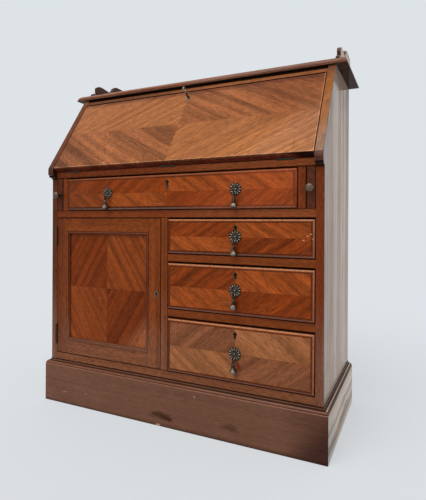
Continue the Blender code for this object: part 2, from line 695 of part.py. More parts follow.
def build_door_hinges(frame, axis):
    """Two butt hinges, one leaf let into the side panel and one into the door's edge."""
    upright = Matrix(((0, 0, -1, 0), (0, 1, 0, 0), (1, 0, 0, 0), (0, 0, 0, 1)))
    gap = RUN / 2
    half = DOOR_HINGE_L / 2 + SEAT
    side_leaf = hinge_leaf(DOOR_HINGE_L, DOOR_LEAF_W, gap, gap + LEAF_T, (0, 2))
    door_leaf = hinge_leaf(DOOR_HINGE_L, DOOR_LEAF_W, -gap - LEAF_T, -gap, (1,))
    for mesh in (side_leaf, door_leaf):
        mesh.transform(upright)
    mortise = box(gap - OVERRUN, gap + LEAF_T + SEAT, 0, DOOR_LEAF_W + SEAT, -half, half)
    for i, z in enumerate(door_hinge_heights()):
        local_z = z - floor_z
        cut(frame, f"door_hinge_mortise_{i}", mortise, axis, (0, 0, local_z))
        node(f"door_hinge_{i + 1}_side_leaf", own_copy(side_leaf), "brass",
             at=(axis.location.x, axis.location.y, z))
        node(f"door_hinge_{i + 1}_door_leaf", own_copy(door_leaf), "brass", axis, (0, 0, local_z))


def build_lopers():
    """The two sliding arms that carry the open fall, each with a turned knob."""
    half = LOPER_T / 2
    height = TOP_DRAWER_H - SLIDE - LOPER_TOP_GAP
    length = inside_back_y - front_y - LOPER_BACK_GAP
    knob_z = height / 2 - LOPER_KNOB_DROP
    profile = [(LOPER_KNOB_R * r, -SEAT - LOPER_KNOB_OUT * out) for r, out in LOPER_KNOB_SHARES]
    knob = turned(profile, "Y")
    for side, name in ((-1, "left"), (1, "right")):
        slide = axis_empty(f"loper_{name}_slide", (side * loper_x, front_y, bay_z + SLIDE))
        node(f"loper_{name}", box(-half, half, 0, length, 0, height), "dark", slide)
        node(f"loper_{name}_knob", own_copy(knob), "brass", slide, (0, 0, knob_z))


def build_drawer(name, centre_x, half_opening, base_z, opening_h, key_x, handle_xs, meshes):
    """One drawer: a moulded front, an open tray behind it, and its drop handles."""
    slide = axis_empty(f"{name}_drawer_slide", (centre_x, front_y, base_z))
    half = half_opening - RUN
    back = DRAWER_FRONT_T - DRAWER_PROUD
    rounding = [(DRAWER_OVOLO * (1 - math.cos(t)), -DRAWER_PROUD + DRAWER_OVOLO_DEPTH * (1 - math.sin(t)))
                for t in [math.pi / 2 * i / ARC_STEPS for i in range(ARC_STEPS + 1)]]
    rings = []
    for inset, y in [(0, back), *rounding]:
        x, low, high = half - inset, RUN + inset, opening_h - DRAWER_TOP_GAP - inset
        rings.append([(-x, y, low), (x, y, low), (x, y, high), (-x, y, high)])
    front = node(f"{name}_drawer_front", loft(rings), "veneer", slide)
    key_at = (key_x - centre_x, -DRAWER_PROUD - OVERRUN, opening_h - DRAWER_TOP_GAP - DRAWER_KEY_DROP)
    cut(front, f"{name}_drawer_keyhole", keyhole(DRAWER_FRONT_T + 2 * OVERRUN), slide, key_at)

    tray_half = half_opening - TRAY_SIDE_GAP
    tray_y = back + SEAT
    tray_l = inside_back_y - TRAY_BACK_GAP - front_y - tray_y
    tray_h = opening_h - TRAY_HEADROOM
    xs = [-tray_half, TRAY_WALL - tray_half, tray_half - TRAY_WALL, tray_half]
    ys = [0, TRAY_WALL, tray_l - TRAY_WALL, tray_l]
    tray = pocket_block(xs, ys, lambda i, j: i == 1 and j == 1, tray_h, tray_h - TRAY_FLOOR)
    tray.transform(Matrix(((1, 0, 0, 0), (0, 0, 1, 0), (0, -1, 0, tray_h), (0, 0, 0, 1))))
    node(f"{name}_drawer_box", tray, "inside", slide, (0, tray_y, SLIDE))

    plate, drop = meshes
    for tag, x in handle_xs:
        place = (x - centre_x, -DRAWER_PROUD - SEAT, opening_h / 2)
        pivot = (place[0], place[1] - PIVOT_OUT, place[2] - PIVOT_DROP)
        node(f"{name}_handle{tag}_plate", own_copy(plate), "bronze", slide, place)
        swing = axis_empty(f"{name}_handle{tag}_axis", pivot, parent=slide)
        node(f"{name}_handle{tag}_drop", own_copy(drop), "bronze", swing)


def plate_mesh():
    """A handle's lobed back plate, with two ears and the pin that the drop hangs on."""
    profile = [(PLATE_R * r, -PLATE_T * h if h < 1 else -PLATE_BOSS_H * h) for r, h in PLATE_SHARES]
    disc = turned(profile, "Y", 4 * PLATE_LOBES, PLATE_LOBES, PLATE_LOBE_SHARE)
    inner = EYE_W / 2 + EYE_SIDE_GAP
    solids = [disc]
    for side in (-1, 1):
        x0, x1 = sorted((side * inner, side * (inner + EAR_T)))
        foot = box(x0, x1, -PIVOT_OUT, -PLATE_T / 4, -PIVOT_DROP - EAR_R, -PIVOT_DROP + EAR_R)
        tip = rod("X", EAR_R, x0, x1, across=-PIVOT_OUT, up=-PIVOT_DROP)
        solids.append(combine([foot, tip]))
    reach = inner + EAR_T / 2
    solids.append(rod("X", PIN_R, -reach, reach, across=-PIVOT_OUT, up=-PIVOT_DROP))
    return combine(solids)


def drop_mesh():
    """A drop with its eye at the origin, a slender stem and a round knob at its foot."""
    stem = turned([(DROP_R * r, -DROP_L * down) for r, down in DROP_SHARES])
    eye = rod("X", EYE_R, -EYE_W / 2, EYE_W / 2)
    bore = rod("X", PIN_R + SEAT, -EYE_W, EYE_W)
    return combine([eye, stem], [bore])


def build_drawers():
    """The long top drawer and the three graduated drawers beside the cupboard."""
    meshes = plate_mesh(), drop_mesh()
    half = (inner_x - partition_right) / 2
    pair = (("_left", -drawer_x), ("_right", drawer_x))
    build_drawer("top", 0, top_drawer_half, bay_z, TOP_DRAWER_H, 0, pair, meshes)
    stack = (("high", high_rail_z + RAIL_T, HIGH_DRAWER_H), ("middle", low_rail_z + RAIL_T, MIDDLE_DRAWER_H),
             ("low", floor_z, LOW_DRAWER_H))
    for name, base_z, opening_h in stack:
        build_drawer(name, drawer_x, half, base_z, opening_h, drawer_x, (("", drawer_x),), meshes)


def build_desk():
    """Build the whole desk."""
    clear_scene()
    build_plinth()
    build_sides()
    build_boards()
    build_top()
    build_slope_rail()
    build_nest()
    build_fall()
    build_door()
    build_lopers()
    build_drawers()


build_desk()
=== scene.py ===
"""The looks of a slant-front bureau desk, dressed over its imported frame.

The file is laid out as an add-on: settings for sizes, finishes and the studio, one operator for
each group of like pieces and one for the stage, and a panel that lists them. Every length is in
metres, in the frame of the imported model: X to the viewer's right, Y to the back and Z up.
"""

import json
import math

import bmesh
import bpy
from bpy.props import FloatProperty, FloatVectorProperty, IntProperty, PointerProperty
from mathutils import Matrix, Vector


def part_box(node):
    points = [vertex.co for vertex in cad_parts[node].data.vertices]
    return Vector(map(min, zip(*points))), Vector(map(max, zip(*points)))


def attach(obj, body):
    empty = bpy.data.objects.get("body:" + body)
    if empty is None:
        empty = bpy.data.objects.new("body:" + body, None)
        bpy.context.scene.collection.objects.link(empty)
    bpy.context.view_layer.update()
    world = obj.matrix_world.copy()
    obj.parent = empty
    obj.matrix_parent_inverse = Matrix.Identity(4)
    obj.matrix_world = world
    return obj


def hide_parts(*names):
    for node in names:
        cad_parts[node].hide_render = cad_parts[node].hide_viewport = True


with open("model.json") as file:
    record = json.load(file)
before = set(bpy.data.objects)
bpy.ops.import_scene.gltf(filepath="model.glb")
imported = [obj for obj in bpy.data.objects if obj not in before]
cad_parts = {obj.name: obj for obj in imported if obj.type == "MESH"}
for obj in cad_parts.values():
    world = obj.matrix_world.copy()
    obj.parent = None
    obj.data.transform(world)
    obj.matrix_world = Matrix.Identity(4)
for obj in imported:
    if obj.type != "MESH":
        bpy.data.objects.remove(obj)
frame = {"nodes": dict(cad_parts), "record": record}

bl_info = {
    "name": "Bureau desk",
    "version": (1, 0, 0),
    "blender": (4, 5, 0),
    "location": "3D View > Sidebar > Bureau desk",
    "description": "Veneers, mouldings and fittings of a slant-front bureau desk",
    "category": "Object",
}

MM = 0.001
NODES = frame["nodes"]
JOINTS = {joint["name"]: joint for joint in frame["record"]["behaviour"]["joints"]}
BODY_OF = {node: body for body, nodes in frame["record"]["behaviour"]["bodies"].items() for node in nodes}
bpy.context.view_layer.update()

# The fall's own frame: it starts on the hinge pin, with Y up the slope and Z out of the face.
PIN = Vector(JOINTS["fall_hinge"]["pos_m"])
KEY_SEAT = Vector(JOINTS["key_turn"]["pos_m"])
OUTWARD = Vector(JOINTS["key_turn"]["axis"])
SLOPE = math.atan2(-OUTWARD.y, OUTWARD.z)
FALL_FRAME = Matrix.Translation(PIN) @ Matrix.Rotation(SLOPE, 4, "X")
FALL_T = (KEY_SEAT - PIN).dot(OUTWARD)
FALL_L = 276.5 * MM
FALL_JOIN = 140 * MM  # the cross join of the fall's veneers, up the slope from the pin

DRAWERS = ("top", "high", "middle", "low")
HANDLES = (
    ("top_handle_left", "top_left_drop"), ("top_handle_right", "top_right_drop"),
    ("high_handle", "high_drop"), ("middle_handle", "middle_drop"), ("low_handle", "low_drop"),
)

SIDE_FRONT = 179.6 * MM  # how far the sides' straight front lies in front of the middle
NOSE_FRONT = 198.6 * MM  # the same of the nose at the foot of their slope
KEYHOLE_DROP = 21.5 * MM  # from a drawer's top to the round part of its keyhole
KEYHOLE_INSET = 14 * MM  # from the door's edge to the middle of its keyhole
DRAWER_STEP = 20 * MM  # how far a drawer's face lies in front of the back of its front
MARK_DEPTH = 10 * MM  # how deep a mark on a face reaches

FAR = 9.0  # past the end of every piece
SLANTED = math.sqrt(0.5)
UP, DOWN, LEFT, RIGHT, FRONT = (0, 0, 1), (0, 0, -1), (-1, 0, 0), (1, 0, 0), (0, -1, 0)
DOWN_RIGHT, DOWN_LEFT, UP_RIGHT = (SLANTED, 0, -SLANTED), (-SLANTED, 0, -SLANTED), (SLANTED, 0, SLANTED)


def linear(red, green, blue):
    """A colour given as three screen bytes, in the linear values that Blender keeps."""
    channels = []
    for byte in (red, green, blue):
        share = byte / 255
        channels.append(share / 12.92 if share <= 0.04045 else ((share + 0.055) / 1.055) ** 2.4)
    return tuple(channels)


def colour_setting(name, description, red, green, blue):
    """A colour that a user may change."""
    return FloatVectorProperty(
        name=name, description=description, subtype="COLOR", size=3, min=0, max=1,
        default=linear(red, green, blue))


def length_setting(name, description, default):
    """A length that a user may change."""
    return FloatProperty(
        name=name, description=description, default=default, min=0, precision=5,
        subtype="DISTANCE", unit="LENGTH")


def share_setting(name, description, default):
    """A share from none to all that a user may change."""
    return FloatProperty(name=name, description=description, default=default, min=0, max=1, subtype="FACTOR")


class DeskSizes(bpy.types.PropertyGroup):
    """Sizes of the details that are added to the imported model."""

    arris: length_setting("Worn edge", "Rounding of the carcass's edges", 0.7 * MM)
    fine_arris: length_setting("Fine edge", "Rounding of the small mouldings' edges", 0.35 * MM)
    rosette_radius: length_setting("Rosette", "Radius of a handle's pierced rosette", 17.6 * MM)
    rosette_lobes: IntProperty(
        name="Petals", description="Raised petals round a handle's rosette", default=12, min=6, max=18)
    bead_radius: length_setting("Beads", "Radius of the beads between the petals", 1.15 * MM)
    lining_rim: length_setting("Keyhole rim", "Width of the rim of a keyhole's lining", 2.2 * MM)
    lining_rise: length_setting("Keyhole lining", "How far a keyhole's lining stands proud", 0.5 * MM)
    screw_radius: length_setting("Screw heads", "Radius of a countersunk screw head", 2.6 * MM)
    back_pitch: length_setting("Back screws", "Distance between the screws of the back board", 130 * MM)
    key_bow_radius: length_setting("Key bow", "Outer radius of the bow of the key", 8.5 * MM)


class DeskFinishes(bpy.types.PropertyGroup):
    """Colours and polish of the woods and metals."""

    fall_gold: colour_setting("Fall, pale leaves", "Two of the fall's four leaves of veneer", 161, 99, 57)
    fall_brown: colour_setting("Fall, dark leaves", "The other two leaves of the fall", 144, 86, 50)
    veneer_pale: colour_setting("Veneer, pale leaves", "Pale leaves of the drawers and the door", 146, 69, 24)
    veneer_deep: colour_setting("Veneer, dark leaves", "Dark leaves of the drawers and the door", 122, 51, 11)
    rail: colour_setting("Rails", "Solid wood of the rails and the bed's edge", 116, 52, 18)
    stile: colour_setting("Stiles", "Solid wood of the stiles and the door's frame", 120, 57, 20)
    top: colour_setting("Top board", "Solid wood of the top board and the gallery", 113, 66, 42)
    slope_edge: colour_setting("Slope edges", "Edges of the sides beside the fall", 154, 94, 40)
    side: colour_setting("Outer sides", "Outer faces of the sides", 124, 84, 56)
    plinth: colour_setting("Plinth", "Solid wood of the plinth", 110, 72, 53)
    faded_pale: colour_setting("Faded veneer, pale leaves", "Pale leaves of the lowest drawer", 148, 92, 56)
    faded_deep: colour_setting("Faded veneer, dark leaves", "Dark leaves of the lowest drawer", 126, 75, 48)
    inside: colour_setting("Inside", "Unpolished wood inside", 158, 116, 74)
    loper_wood: colour_setting("Lopers", "The dark wood of the two sliding arms", 88, 46, 32)
    # Dark dirt, and also painted shade laid in the gaps, quirks and recesses between parts.
    grime: colour_setting("Grime", "Old dirt and shade in the gaps and quirks", 30, 15, 9)
    faded_frame: colour_setting(
        "Faded frame", "The low parts of the frame, where the polish is tired", 118, 82, 62)
    bronze: colour_setting("Bronze", "Rubbed metal of the drop handles", 164, 148, 130)
    bronze_patina: colour_setting("Bronze patina", "Dark patina of the drop handles", 22, 15, 11)
    brass: colour_setting("Brass", "Rubbed metal of hinges and linings", 122, 98, 70)
    brass_patina: colour_setting("Brass patina", "Dark patina of hinges and linings", 50, 36, 26)
    steel: colour_setting("Steel", "Metal of the key and the bolt", 166, 160, 148)
    side_bloom: share_setting("Bloom", "Pale bloom on the outer sides, seen at a low angle", 0.5)
    polish: share_setting("Polish", "Strength of the shellac polish on the show wood", 0.85)
    wear: share_setting("Wear", "Strength of rubbed edges, marks and dust", 0.6)


class DeskStudio(bpy.types.PropertyGroup):
    """Colours and lights of the studio."""

    backdrop: colour_setting("Backdrop", "Colour behind the desk and of the floor as seen", 222, 227, 231)
    floor: colour_setting("Floor", "Colour of the floor as it is lit", 209, 213, 217)
    floor_shadow: share_setting("Floor shadow", "Share of the floor's look that takes the shadow", 0.46)
    sky_light: FloatProperty(
        name="Sky light", description="Strength of the light from all round", default=0.66, min=0)
    key_light: FloatProperty(
        name="Key light", description="Strength of the soft light from above and in front", default=1.9, min=0)


# Shader and mesh trees


class Bench:
    """Lays out nodes in one tree and links them."""

    def __init__(self, tree):
        self.tree = tree

    def feed(self, socket, value):
        """Gives a socket another socket's value, or a plain one."""
        if isinstance(value, bpy.types.NodeSocket):
            self.tree.links.new(value, socket)
        elif getattr(socket, "type", "") == "RGBA" and len(value) == 3:
            socket.default_value = (*value, 1)
        else:
            socket.default_value = value

    def put(self, kind, settings=None, **inputs):
        """Adds a node. Spaces in its inputs' names are written as underscores."""
        made = self.tree.nodes.new(kind)
        for name, value in (settings or {}).items():
            setattr(made, name, value)
        for name, value in inputs.items():
            self.feed(made.inputs[name.replace("_", " ")], value)
        return made

    def maths(self, operation, *values, clamp=False):
        """One step of arithmetic on numbers."""
        made = self.tree.nodes.new("ShaderNodeMath")
        made.operation = operation
        made.use_clamp = clamp
        for socket, value in zip(made.inputs, values):
            self.feed(socket, value)
        return made.outputs[0]

    def times(self, first, second):
        """One number times another."""
        return self.maths("MULTIPLY", first, second)

    def minus(self, first, second):
        """One number less another."""
        return self.maths("SUBTRACT", first, second)

    def over(self, first, second):
        """One number divided by another."""
        return self.maths("DIVIDE", first, second)

    def vectors(self, operation, *values, output=0):
        """One step of arithmetic on vectors."""
        made = self.tree.nodes.new("ShaderNodeVectorMath")
        made.operation = operation
        for socket, value in zip(made.inputs, values):
            self.feed(socket, value)
        return made.outputs[output]

    def split(self, vector):
        """The three parts of a vector."""
        return self.put("ShaderNodeSeparateXYZ", Vector=vector).outputs

    def vector(self, x, y, z):
        """A vector from its three parts."""
        return self.put("ShaderNodeCombineXYZ", X=x, Y=y, Z=z).outputs[0]

    def noise(self, vector, scale=1.0, detail=2.0, roughness=0.5, distortion=0.0):
        """Soft noise between 0 and 1."""
        return self.put("ShaderNodeTexNoise", Vector=vector, Scale=scale, Detail=detail, Roughness=roughness,
                        Distortion=distortion).outputs[0]

    def span(self, value, low, high, to_low=0.0, to_high=1.0):
        """A value carried from one range to another, and kept inside it."""
        made = self.tree.nodes.new("ShaderNodeMapRange")
        made.interpolation_type = "SMOOTHSTEP"
        for socket, part in zip(made.inputs, (value, low, high, to_low, to_high)):
            self.feed(socket, part)
        return made.outputs[0]

    def blend(self, factor, first, second, mode="MIX"):
        """Two colours mixed."""
        made = self.tree.nodes.new("ShaderNodeMix")
        made.data_type = "RGBA"
        made.blend_type = mode
        self.feed(made.inputs[0], factor)
        self.feed(made.inputs[6], first)
        self.feed(made.inputs[7], second)
        return made.outputs[2]

    def between(self, factor, first, second):
        """Two numbers mixed."""
        made = self.tree.nodes.new("ShaderNodeMix")
        self.feed(made.inputs[0], factor)
        self.feed(made.inputs[2], first)
        self.feed(made.inputs[3], second)
        return made.outputs[0]

    def group(self, name, **inputs):
        """Places a shared group of nodes with this material's own values."""
        made = self.tree.nodes.new("ShaderNodeGroup")
        made.node_tree = bpy.data.node_groups[name]
        for label, value in inputs.items():
            self.feed(made.inputs[label.replace("_", " ")], value)
        return made.outputs


def new_group(name, kind, inputs, outputs):
    """A node group with named inputs and outputs. Returns its bench, the inputs and the output node."""
    tree = bpy.data.node_groups.new(name, kind)
    for socket_kind, label, default in inputs:
        socket = tree.interface.new_socket(name=label, in_out="INPUT", socket_type=socket_kind)
        if default is not None:
            socket.default_value = default
    for socket_kind, label in outputs:
        tree.interface.new_socket(name=label, in_out="OUTPUT", socket_type=socket_kind)
    bench = Bench(tree)
    entry = tree.nodes.new("NodeGroupInput")
    leave = tree.nodes.new("NodeGroupOutput")
    return bench, entry.outputs, leave


NUMBER = "NodeSocketFloat"
VECTOR = "NodeSocketVector"
COLOUR = "NodeSocketColor"
DEFAULT_TONE = (0.5, 0.3, 0.15, 1)


def group_wood_grain():
    """Grain along X: broad bands, fine fibres, flecks and short dark pores."""
    bench, given, out = new_group("Wood Grain", "ShaderNodeTree", (
        (VECTOR, "Vector", None), (COLOUR, "Light", DEFAULT_TONE), (COLOUR, "Dark", DEFAULT_TONE),
        (COLOUR, "Pore", DEFAULT_TONE), (NUMBER, "Band Width", 0.016), (NUMBER, "Band Length", 0.6),
        (NUMBER, "Contrast", 1.0), (NUMBER, "Fibre Width", 0.0016), (NUMBER, "Fibre Strength", 0.4),
        (NUMBER, "Fleck Strength", 1.0), (NUMBER, "Pore Strength", 0.4),
    ), ((COLOUR, "Color"), (NUMBER, "Height"), (NUMBER, "Band"), (NUMBER, "Figure")))
    along, across, depth = bench.split(given["Vector"])
    wander = bench.minus(bench.noise(given["Vector"], 4.0, 1.0), 0.5)
    drift = bench.times(wander, bench.times(given["Band Width"], 1.1))
    across = bench.maths("ADD", across, drift)
    lane = bench.over(across, given["Band Width"])
    deep_lane = bench.over(depth, given["Band Width"])
    run = bench.over(along, given["Band Length"])
    bands = bench.noise(bench.vector(run, lane, deep_lane), 1.0, 3.0, 0.55)
    bands = bench.times(bench.minus(bands, 0.5), given["Contrast"])
    thread = bench.over(across, given["Fibre Width"])
    deep_thread = bench.over(depth, given["Fibre Width"])
    long_run = bench.times(run, 9.0)
    fibres = bench.noise(bench.vector(long_run, thread, deep_thread), 1.0, 2.0, 0.6)
    fibre_part = bench.times(bench.minus(fibres, 0.5), given["Fibre Strength"])
    level = bench.maths("ADD", bench.maths("MULTIPLY_ADD", bands, 2.4, 0.5), fibre_part, clamp=True)
    colour = bench.blend(level, given["Dark"], given["Light"])
    streak = bench.vector(bench.over(along, 0.017), bench.over(across, 0.0012),
                          bench.over(depth, 0.0012))
    flecks = bench.minus(bench.noise(streak, 1.0, 1.0, 0.5), 0.5)
    flecks = bench.maths("MULTIPLY_ADD", flecks, bench.times(given["Fleck Strength"], 1.9), 1.0)
    colour = bench.blend(1.0, colour, bench.vector(flecks, flecks, flecks), "MULTIPLY")
    dash = bench.vector(bench.over(along, 0.0065), bench.over(across, 0.00042),
                        bench.over(depth, 0.00042))
    pores = bench.span(bench.noise(dash, 1.0, 1.0), 0.60, 0.70)
    pores = bench.times(pores, given["Pore Strength"])
    colour = bench.blend(pores, colour, given["Pore"])
    height = bench.minus(bench.times(fibres, 0.5), pores)
    bench.feed(out.inputs["Color"], colour)
    bench.feed(out.inputs["Height"], height)
    bench.feed(out.inputs["Band"], level)
    shade = bench.maths("MULTIPLY_ADD", level, 0.5, 0.75)
    bench.feed(out.inputs["Figure"], bench.times(shade, flecks))


def group_matched_quarters():
    """Four leaves of veneer, mirrored about the middle, with the grain falling away from it."""
    bench, given, out = new_group("Matched Quarters", "ShaderNodeTree", (
        (VECTOR, "Vector", None), (NUMBER, "Slant", 0.6), (NUMBER, "Join Width", 0.0007),
        (NUMBER, "Leaf Shift", 0.012), (NUMBER, "Seed", 0.0),
    ), ((VECTOR, "Grain"), (NUMBER, "Odd"), (NUMBER, "Join")))
    x, depth, z = bench.split(given["Vector"])
    wave = bench.minus(bench.noise(given["Vector"], 9.0, 1.0), 0.5)
    wave = bench.times(wave, 0.003)
    side = bench.maths("ABSOLUTE", x)
    up = bench.maths("ABSOLUTE", z)
    lean = bench.maths("COSINE", given["Slant"])
    rise = bench.maths("SINE", given["Slant"])
    along = bench.minus(bench.times(side, lean), bench.times(up, rise))
    across = bench.maths("ADD", bench.times(side, rise), bench.times(up, lean))
    across = bench.maths("ADD", across, wave)
    odd = bench.maths("GREATER_THAN", bench.times(x, z), 0.0)
    right = bench.maths("GREATER_THAN", x, 0.0)
    leaf = bench.maths("MULTIPLY_ADD", odd, 2.0, right)
    shift = bench.maths("MULTIPLY_ADD", leaf, given["Leaf Shift"], given["Seed"])
    depth = bench.maths("MULTIPLY_ADD", depth, 0.2, shift)
    nearest = bench.maths("MINIMUM", side, up)
    join = bench.span(nearest, given["Join Width"], 0.0)
    bench.feed(out.inputs["Grain"], bench.vector(along, across, depth))
    bench.feed(out.inputs["Odd"], odd)
    bench.feed(out.inputs["Join"], join)


def group_old_polish():
    """Rubbed edges of a box, clouds of grime and fine scratches."""
    bench, given, out = new_group("Old Polish", "ShaderNodeTree", (
        (VECTOR, "Vector", None), (VECTOR, "Low", (-1, -1, -1)), (VECTOR, "High", (1, 1, 1)),
        (NUMBER, "Edge Width", 0.002), (NUMBER, "Cloud Size", 0.09),
    ), ((NUMBER, "Edge"), (NUMBER, "Grime"), (NUMBER, "Scuff")))
    from_low = bench.vectors("SUBTRACT", given["Vector"], given["Low"])
    from_high = bench.vectors("SUBTRACT", given["High"], given["Vector"])
    near = bench.split(bench.vectors("ABSOLUTE", bench.vectors("MINIMUM", from_low, from_high)))
    least = bench.maths("MINIMUM", near[0], near[1])
    most = bench.maths("MAXIMUM", near[0], near[1])
    second = bench.maths("MAXIMUM", least, bench.maths("MINIMUM", most, near[2]))
    edge = bench.span(second, given["Edge Width"], 0.0)
    patchy = bench.span(bench.noise(given["Vector"], 60.0, 3.0, 0.6), 0.42, 0.62)
    bench.feed(out.inputs["Edge"], bench.times(edge, patchy))
    cloud = bench.vectors("DIVIDE", given["Vector"], bench.vector(*(given["Cloud Size"],) * 3))
    bench.feed(out.inputs["Grime"], bench.span(bench.noise(cloud, 1.0, 4.0, 0.6), 0.35, 0.75))
    flat = bench.vectors("MULTIPLY", given["Vector"], (16.0, 16.0, 260.0))
    scratch = bench.span(bench.noise(flat, 1.0, 2.0, 0.5), 0.735, 0.76)
    patch = bench.span(bench.noise(given["Vector"], 7.0, 1.0), 0.55, 0.7)
    bench.feed(out.inputs["Scuff"], bench.times(scratch, patch))


def group_strip():
    """The part of a piece that lies between two levels along a direction."""
    bench, given, out = new_group("Strip", "ShaderNodeTree", (
        (VECTOR, "Vector", None), (VECTOR, "Direction", (0, 0, 1)), (NUMBER, "Low", 0.0), (NUMBER, "High", 1.0),
        (NUMBER, "Softness", 0.0005),
    ), ((NUMBER, "Mask"),))
    level = bench.vectors("DOT_PRODUCT", given["Vector"], given["Direction"], output=1)
    rise = bench.span(level, bench.minus(given["Low"], given["Softness"]), given["Low"])
    fall = bench.span(level, bench.maths("ADD", given["High"], given["Softness"]), given["High"])
    bench.feed(out.inputs["Mask"], bench.times(rise, fall))


def group_moulded_edge():
    """Masks of the moulding round a flat front: its four mitred sides, its rim, its facet and its step."""
    bench, given, out = new_group("Moulded Edge", "ShaderNodeTree", (
        (VECTOR, "Vector", None), (NUMBER, "Half X", 0.2), (NUMBER, "Half Z", 0.05), (NUMBER, "Width", 0.009),
        (NUMBER, "Rim", 0.0013), (NUMBER, "Rim Depth", -0.0145),
    ), tuple((NUMBER, label) for label in ("Panel", "Top", "Right", "Bottom", "Left", "Rim", "Facet", "Step")))
    x, depth, z = bench.split(given["Vector"])
    reach = {
        "Right": bench.minus(given["Half X"], x), "Left": bench.maths("ADD", given["Half X"], x),
        "Top": bench.minus(given["Half Z"], z), "Bottom": bench.maths("ADD", given["Half Z"], z),
    }
    nearest = bench.maths("MINIMUM", bench.maths("MINIMUM", reach["Right"], reach["Left"]),
                          bench.maths("MINIMUM", reach["Top"], reach["Bottom"]))
    margin = bench.maths("ADD", nearest, 1e-5)
    for label, distance in reach.items():
        bench.feed(out.inputs[label], bench.maths("LESS_THAN", distance, margin))
    bench.feed(out.inputs["Panel"], bench.maths("GREATER_THAN", nearest, given["Width"]))
    rim = bench.span(nearest, given["Rim"], bench.times(given["Rim"], 0.4))
    bench.feed(out.inputs["Rim"], bench.times(rim, bench.maths("LESS_THAN", depth, given["Rim Depth"])))
    share = bench.over(nearest, given["Width"])
    facet = bench.times(bench.span(share, 0.08, 0.18), bench.span(share, 0.62, 0.44))
    bench.feed(out.inputs["Facet"], facet)
    from_step = bench.maths("ABSOLUTE", bench.minus(share, 1.0))
    bench.feed(out.inputs["Step"], bench.span(from_step, 0.12, 0.03))


def group_spot():
    """One ragged mark on a face, such as a chip, a stain or a knot."""
    bench, given, out = new_group("Spot", "ShaderNodeTree", (
        (VECTOR, "Vector", None), (VECTOR, "Place", (0, 0, 0)), (VECTOR, "Size", (0.01, 0.01, 0.01)),
        (NUMBER, "Lean", 0.0), (NUMBER, "Ragged", 0.8), (NUMBER, "Softness", 0.3),
    ), ((NUMBER, "Mark"),))
    offset = bench.vectors("SUBTRACT", given["Vector"], given["Place"])
    leaning = bench.put("ShaderNodeVectorRotate", {"rotation_type": "Y_AXIS"}, Vector=offset,
                        Angle=given["Lean"]).outputs[0]
    away = bench.vectors("DIVIDE", leaning, given["Size"])
    reach = bench.vectors("LENGTH", away, output=1)
    rag = bench.minus(bench.noise(away, 2.0, 4.0, 0.65), 0.5)
    reach = bench.maths("MULTIPLY_ADD", rag, given["Ragged"], reach)
    rim = bench.minus(1.0, given["Softness"])
    bench.feed(out.inputs["Mark"], bench.span(reach, 1.0, rim))


def group_patina():
    """Old metal: bright where it stands proud, dark and dull in its hollows."""
    bench, given, out = new_group("Patina", "ShaderNodeTree", (
        (VECTOR, "Vector", None), (NUMBER, "Hollow", 0.0), (NUMBER, "Proud", -0.01),
        (COLOUR, "Rubbed", DEFAULT_TONE), (COLOUR, "Dull", DEFAULT_TONE), (NUMBER, "Rubbing", 0.8),
        (NUMBER, "Clouds", 1.0),
    ), ((COLOUR, "Color"), (NUMBER, "Roughness"), (NUMBER, "Height")))
    depth = bench.split(given["Vector"])[1]
    raised = bench.span(depth, given["Hollow"], given["Proud"])
    clouds = bench.noise(given["Vector"], 240.0, 4.0, 0.65)
    ragged = bench.times(bench.minus(clouds, 0.5), given["Clouds"])
    bright = bench.maths("ADD", bench.times(raised, given["Rubbing"]), ragged, clamp=True)
    bench.feed(out.inputs["Color"], bench.blend(bright, given["Dull"], given["Rubbed"]))
    bench.feed(out.inputs["Roughness"], bench.maths("MULTIPLY_ADD", bright, -0.22, 0.56))
    bench.feed(out.inputs["Height"], bench.noise(given["Vector"], 900.0, 2.0))


# Finishes


class Finish:
    """A material under way: its bench, its shader and the place on the desk that it reads."""

    def __init__(self, name):
        self.material = bpy.data.materials.new(name)
        self.material.use_nodes = True
        tree = self.material.node_tree
        tree.nodes.clear()
        self.bench = Bench(tree)
        self.shader = tree.nodes.new("ShaderNodeBsdfPrincipled")
        self.output = tree.nodes.new("ShaderNodeOutputMaterial")
        tree.links.new(self.shader.outputs[0], self.output.inputs[0])
        self.place = tree.nodes.new("ShaderNodeTexCoord").outputs["Object"]

    def set(self, **inputs):
        """Sets or links the shader's own sockets."""
        for name, value in inputs.items():
            self.bench.feed(self.shader.inputs[name.replace("_", " ")], value)

    def bump(self, height, distance, strength=1.0):
        """Raises the surface by a height from 0 to 1 over a distance."""
        made = self.bench.put("ShaderNodeBump", Strength=strength, Distance=distance, Height=height)
        self.set(Normal=made.outputs[0])


def two_tones(mean, spread=0.3):
    """The light and the dark tone of a wood, on both sides of its mean colour."""
    return toned(mean, 1 + spread), toned(mean, 1 - spread)


def toned(tone, share):
    """A colour made darker or paler by a share."""
    return tuple(channel * share for channel in tone)


def past(direction, level, tone, strength, softness, kept):
    """The strip of a piece that lies past one level along a direction."""
    return tuple(direction), level, FAR, tone, strength, softness, kept


def spot(place, size, tone, strength, ragged, softness, lean=0):
    """A ragged mark at a place."""
    return place, size, tone, strength, ragged, softness, lean


def face_spot(x, face, z, half_width, half_height, tone, strength, ragged, softness, lean=0):
    """A ragged mark on a face that looks to the front."""
    return spot((x, face, z), (half_width, MARK_DEPTH, half_height), tone, strength, ragged, softness, lean)


def strip_mask(bench, vector, direction, low, high, softness):
    """The share of a strip at each place, from 0 to 1."""
    return bench.group("Strip", Vector=vector, Direction=direction, Low=low, High=high, Softness=softness)["Mask"]


PORE_SHARE = 0.35


def wood_grain(bench, vector, tones, pore_share=PORE_SHARE, **settings):
    """The shared grain in a light and a dark tone, with pores darker than both."""
    light, dark = tones
    return bench.group("Wood Grain", Vector=vector, Light=light, Dark=dark, Pore=toned(dark, pore_share),
                       **settings)


